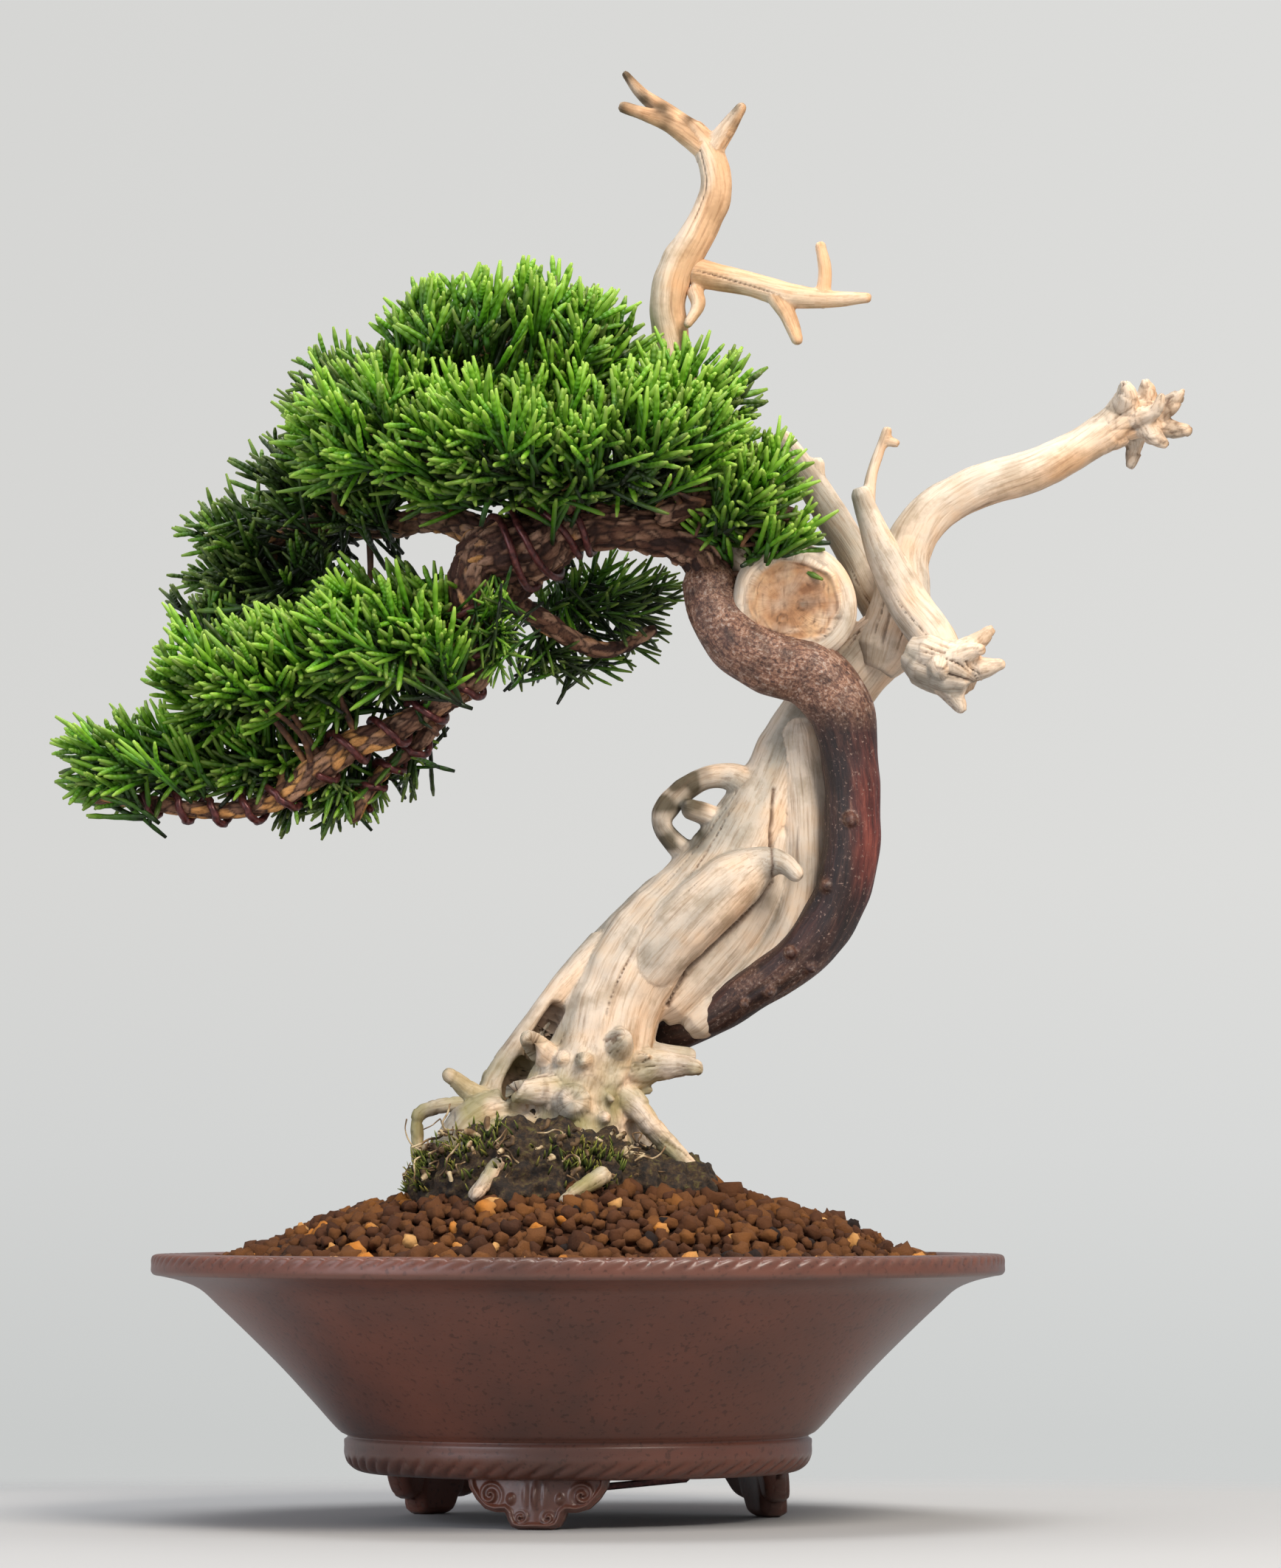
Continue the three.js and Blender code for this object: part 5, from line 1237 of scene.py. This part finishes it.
# Juniper scale leaves: waxy satin, bright at the tip and deep green behind, seven scales to a cord.
# The tips are young growth; the near-black at each shoot's base is painted shade between the shoots.
# Old and young green mix by age and by painted light: shoots inside and under a pad are darker, and
# those on its top lighter.
SCALES_PER_SHOOT = 7
scale_leaves, tree = blank("juniper_scale_leaves")
tone = add(tree, "UVMap", {"uv_map": "OFBake"})
parts = add(tree, "SeparateXYZ", inputs={0: tone})
old_and_shaded = add(tree, "ValToRGB", {"stops": [(0.0, "#10160b"), (0.4, "#1e2c12"), (0.8, "#33481b"),
                                       (1.0, "#5a6a2a")]}, {"Fac": parts.outputs["X"]})
young_and_lit = add(tree, "ValToRGB", {"stops": [(0.0, "#131f09"), (0.2, "#2f5c10"), (0.5, "#539114"),
                                         (0.85, "#78aa2a"), (1.0, "#9cbe4a")]}, {"Fac": parts.outputs["X"]})
leaf = add(tree, "Mix", {"data_type": "RGBA"}, {0: parts.outputs["Y"], 6: old_and_shaded, 7: young_and_lit})
scales = add(tree, "Math", {"operation": "MULTIPLY"},
             {0: parts.outputs["X"], 1: 2 * math.pi * SCALES_PER_SHOOT})
scale_wave = add(tree, "Math", {"operation": "SINE"}, {0: scales})
scale_bump = add(tree, "Bump", inputs={"Strength": 0.35, "Distance": 0.15 * MM, "Height": scale_wave})
waxy = add(tree, "BsdfPrincipled", inputs={
    "Base Color": leaf, "Roughness": 0.45, "Specular IOR Level": 0.36,
    "Normal": scale_bump})
close(tree, waxy)


def unit(v):
    """A vector's direction."""
    return v / (np.linalg.norm(v) + 1e-9)


limb_points = np.vstack([smooth_row(row, 2.0)[:, :3] for row in BRANCHES.values()])
twig_rows = []
for pad, balls in PADS.items():
    rng = np.random.default_rng(100 + list(PADS).index(pad))
    lean, brightness, density, thick = PAD_WAYS[pad]
    lean = np.array(lean)
    shoots = []

    def shoot(start, aim, length, width, tone):
        """Keeps one shoot, with a small random bend."""
        bend = rng.normal(0, 0.09, 3) * length + np.array([0, 0, 0.05]) * length
        shoots.append((start, aim, length, width, bend, np.clip(tone, 0.01, 0.99)))

    for ball in balls:
        middle, half = np.array(ball[:3]), np.array(ball[3:])
        area = 4 * math.pi * ((half[0] * half[1]) ** 1.6 + (half[0] * half[2]) ** 1.6
                              + (half[1] * half[2]) ** 1.6) ** (1 / 1.6) / 3 ** (1 / 1.6)
        for layer, crowd, shade in LAYERS:
            for _ in range(int(area * layer ** 2 / crowd * density)):
                out = unit(rng.normal(size=3))
                if out[2] < -0.85 and pad not in ("foliage_hanging", "foliage_tuft"):
                    continue
                surface = middle + half * out * layer
                inside = [np.linalg.norm((surface - np.array(b[:3])) / np.array(b[3:])) for b in balls
                          if b is not ball]
                if inside and min(inside) < layer * 0.82:
                    continue
                in_gap = GAP_X[0] < surface[0] < GAP_X[1] and GAP_Z[0] < surface[2] < GAP_Z[1]
                if in_gap and rng.random() < 0.9:
                    continue
                normal = unit(out / half)
                aim = unit(normal * 0.72 + lean * 1.4 + rng.normal(0, 0.2, 3))
                reach = rng.uniform(*SHOOT_REACH)
                base = surface - aim * reach * rng.uniform(0.88, 1.16) + lean * 1.2
                # Painted light and shade: the tone is lower on the inner layers, on a pad's underside and
                # in the darker pads, and higher on its top; the random part is the shoots' own.
                tone = brightness - shade + rng.normal(0, 0.2) + 0.22 * out[2] + 0.05
                plane = unit(np.cross(aim, unit(rng.normal(size=3) + np.array([0, 0.2, 0.9]))))
                root = limb_points[np.linalg.norm(limb_points - base, axis=1).argmin()]
                half_way = root + (base - root) * 0.55 + rng.normal(0, 2.0, 3)
                if np.linalg.norm(base - root) > 3 and rng.random() < 0.05:
                    twig_rows.append([[*root, 1.6], [*half_way, 1.2], [*base, 0.8],
                                      [*(base + aim * 2), 0.6]])
                width = SHOOT * thick
                shoot(base, aim, reach, width * rng.uniform(0.85, 1.05), tone)
                forks = rng.integers(4, 6)
                for k in range(forks):
                    share = 0.15 + 0.6 * (k + rng.uniform(0, 0.8)) / forks
                    hand = 1 if k % 2 else -1
                    spread = math.radians(rng.uniform(*FORK_SPREAD))
                    side_aim = unit(aim * math.cos(spread) + plane * hand * math.sin(spread)
                                    + rng.normal(0, 0.12, 3))
                    length = reach * (1.05 - share) * rng.uniform(0.75, 1.0) + 0.8
                    shoot(base + aim * reach * share, side_aim, length, width * rng.uniform(0.78, 1.0),
                          tone + rng.normal(0, 0.13))
    starts, aims, lengths, widths, bends, tones = [np.array(column) for column in zip(*shoots)]
    points, faces, values = fingers(starts, aims, lengths, widths, bends, SHOOT_RINGS, 6, tones)
    spray = new_object(pad + "_sprays", points, faces)
    paint_uv(spray, values)
    place(spray, scale_leaves, "foliage", pad)

twigs = new_object("foliage_twigs", *merged([tube(row, 5, 2.5) for row in twig_rows]))
twig_bark, tree = blank("twig_bark")  # smooth young bark, red-brown, in patches of 2 mm
where = add(tree, "TexCoord").outputs["Object"]
young_bark = add(tree, "TexNoise", inputs={"Vector": where, "Scale": 1 / (2.0 * MM), "Detail": 4.0})
young_tone = add(tree, "ValToRGB", {"stops": [(0.35, "#3b241a"), (0.55, "#6b4630"), (0.75, "#a87648")]},
                 {"Fac": young_bark})
twig_skin = add(tree, "BsdfPrincipled", inputs={"Base Color": young_tone, "Roughness": 0.7})
close(tree, twig_skin)
place(twigs, twig_bark, "branch_bark")

# ---------------------------------------------------------------------------------------------
# The scene is brought up to date.
bpy.context.view_layer.update()
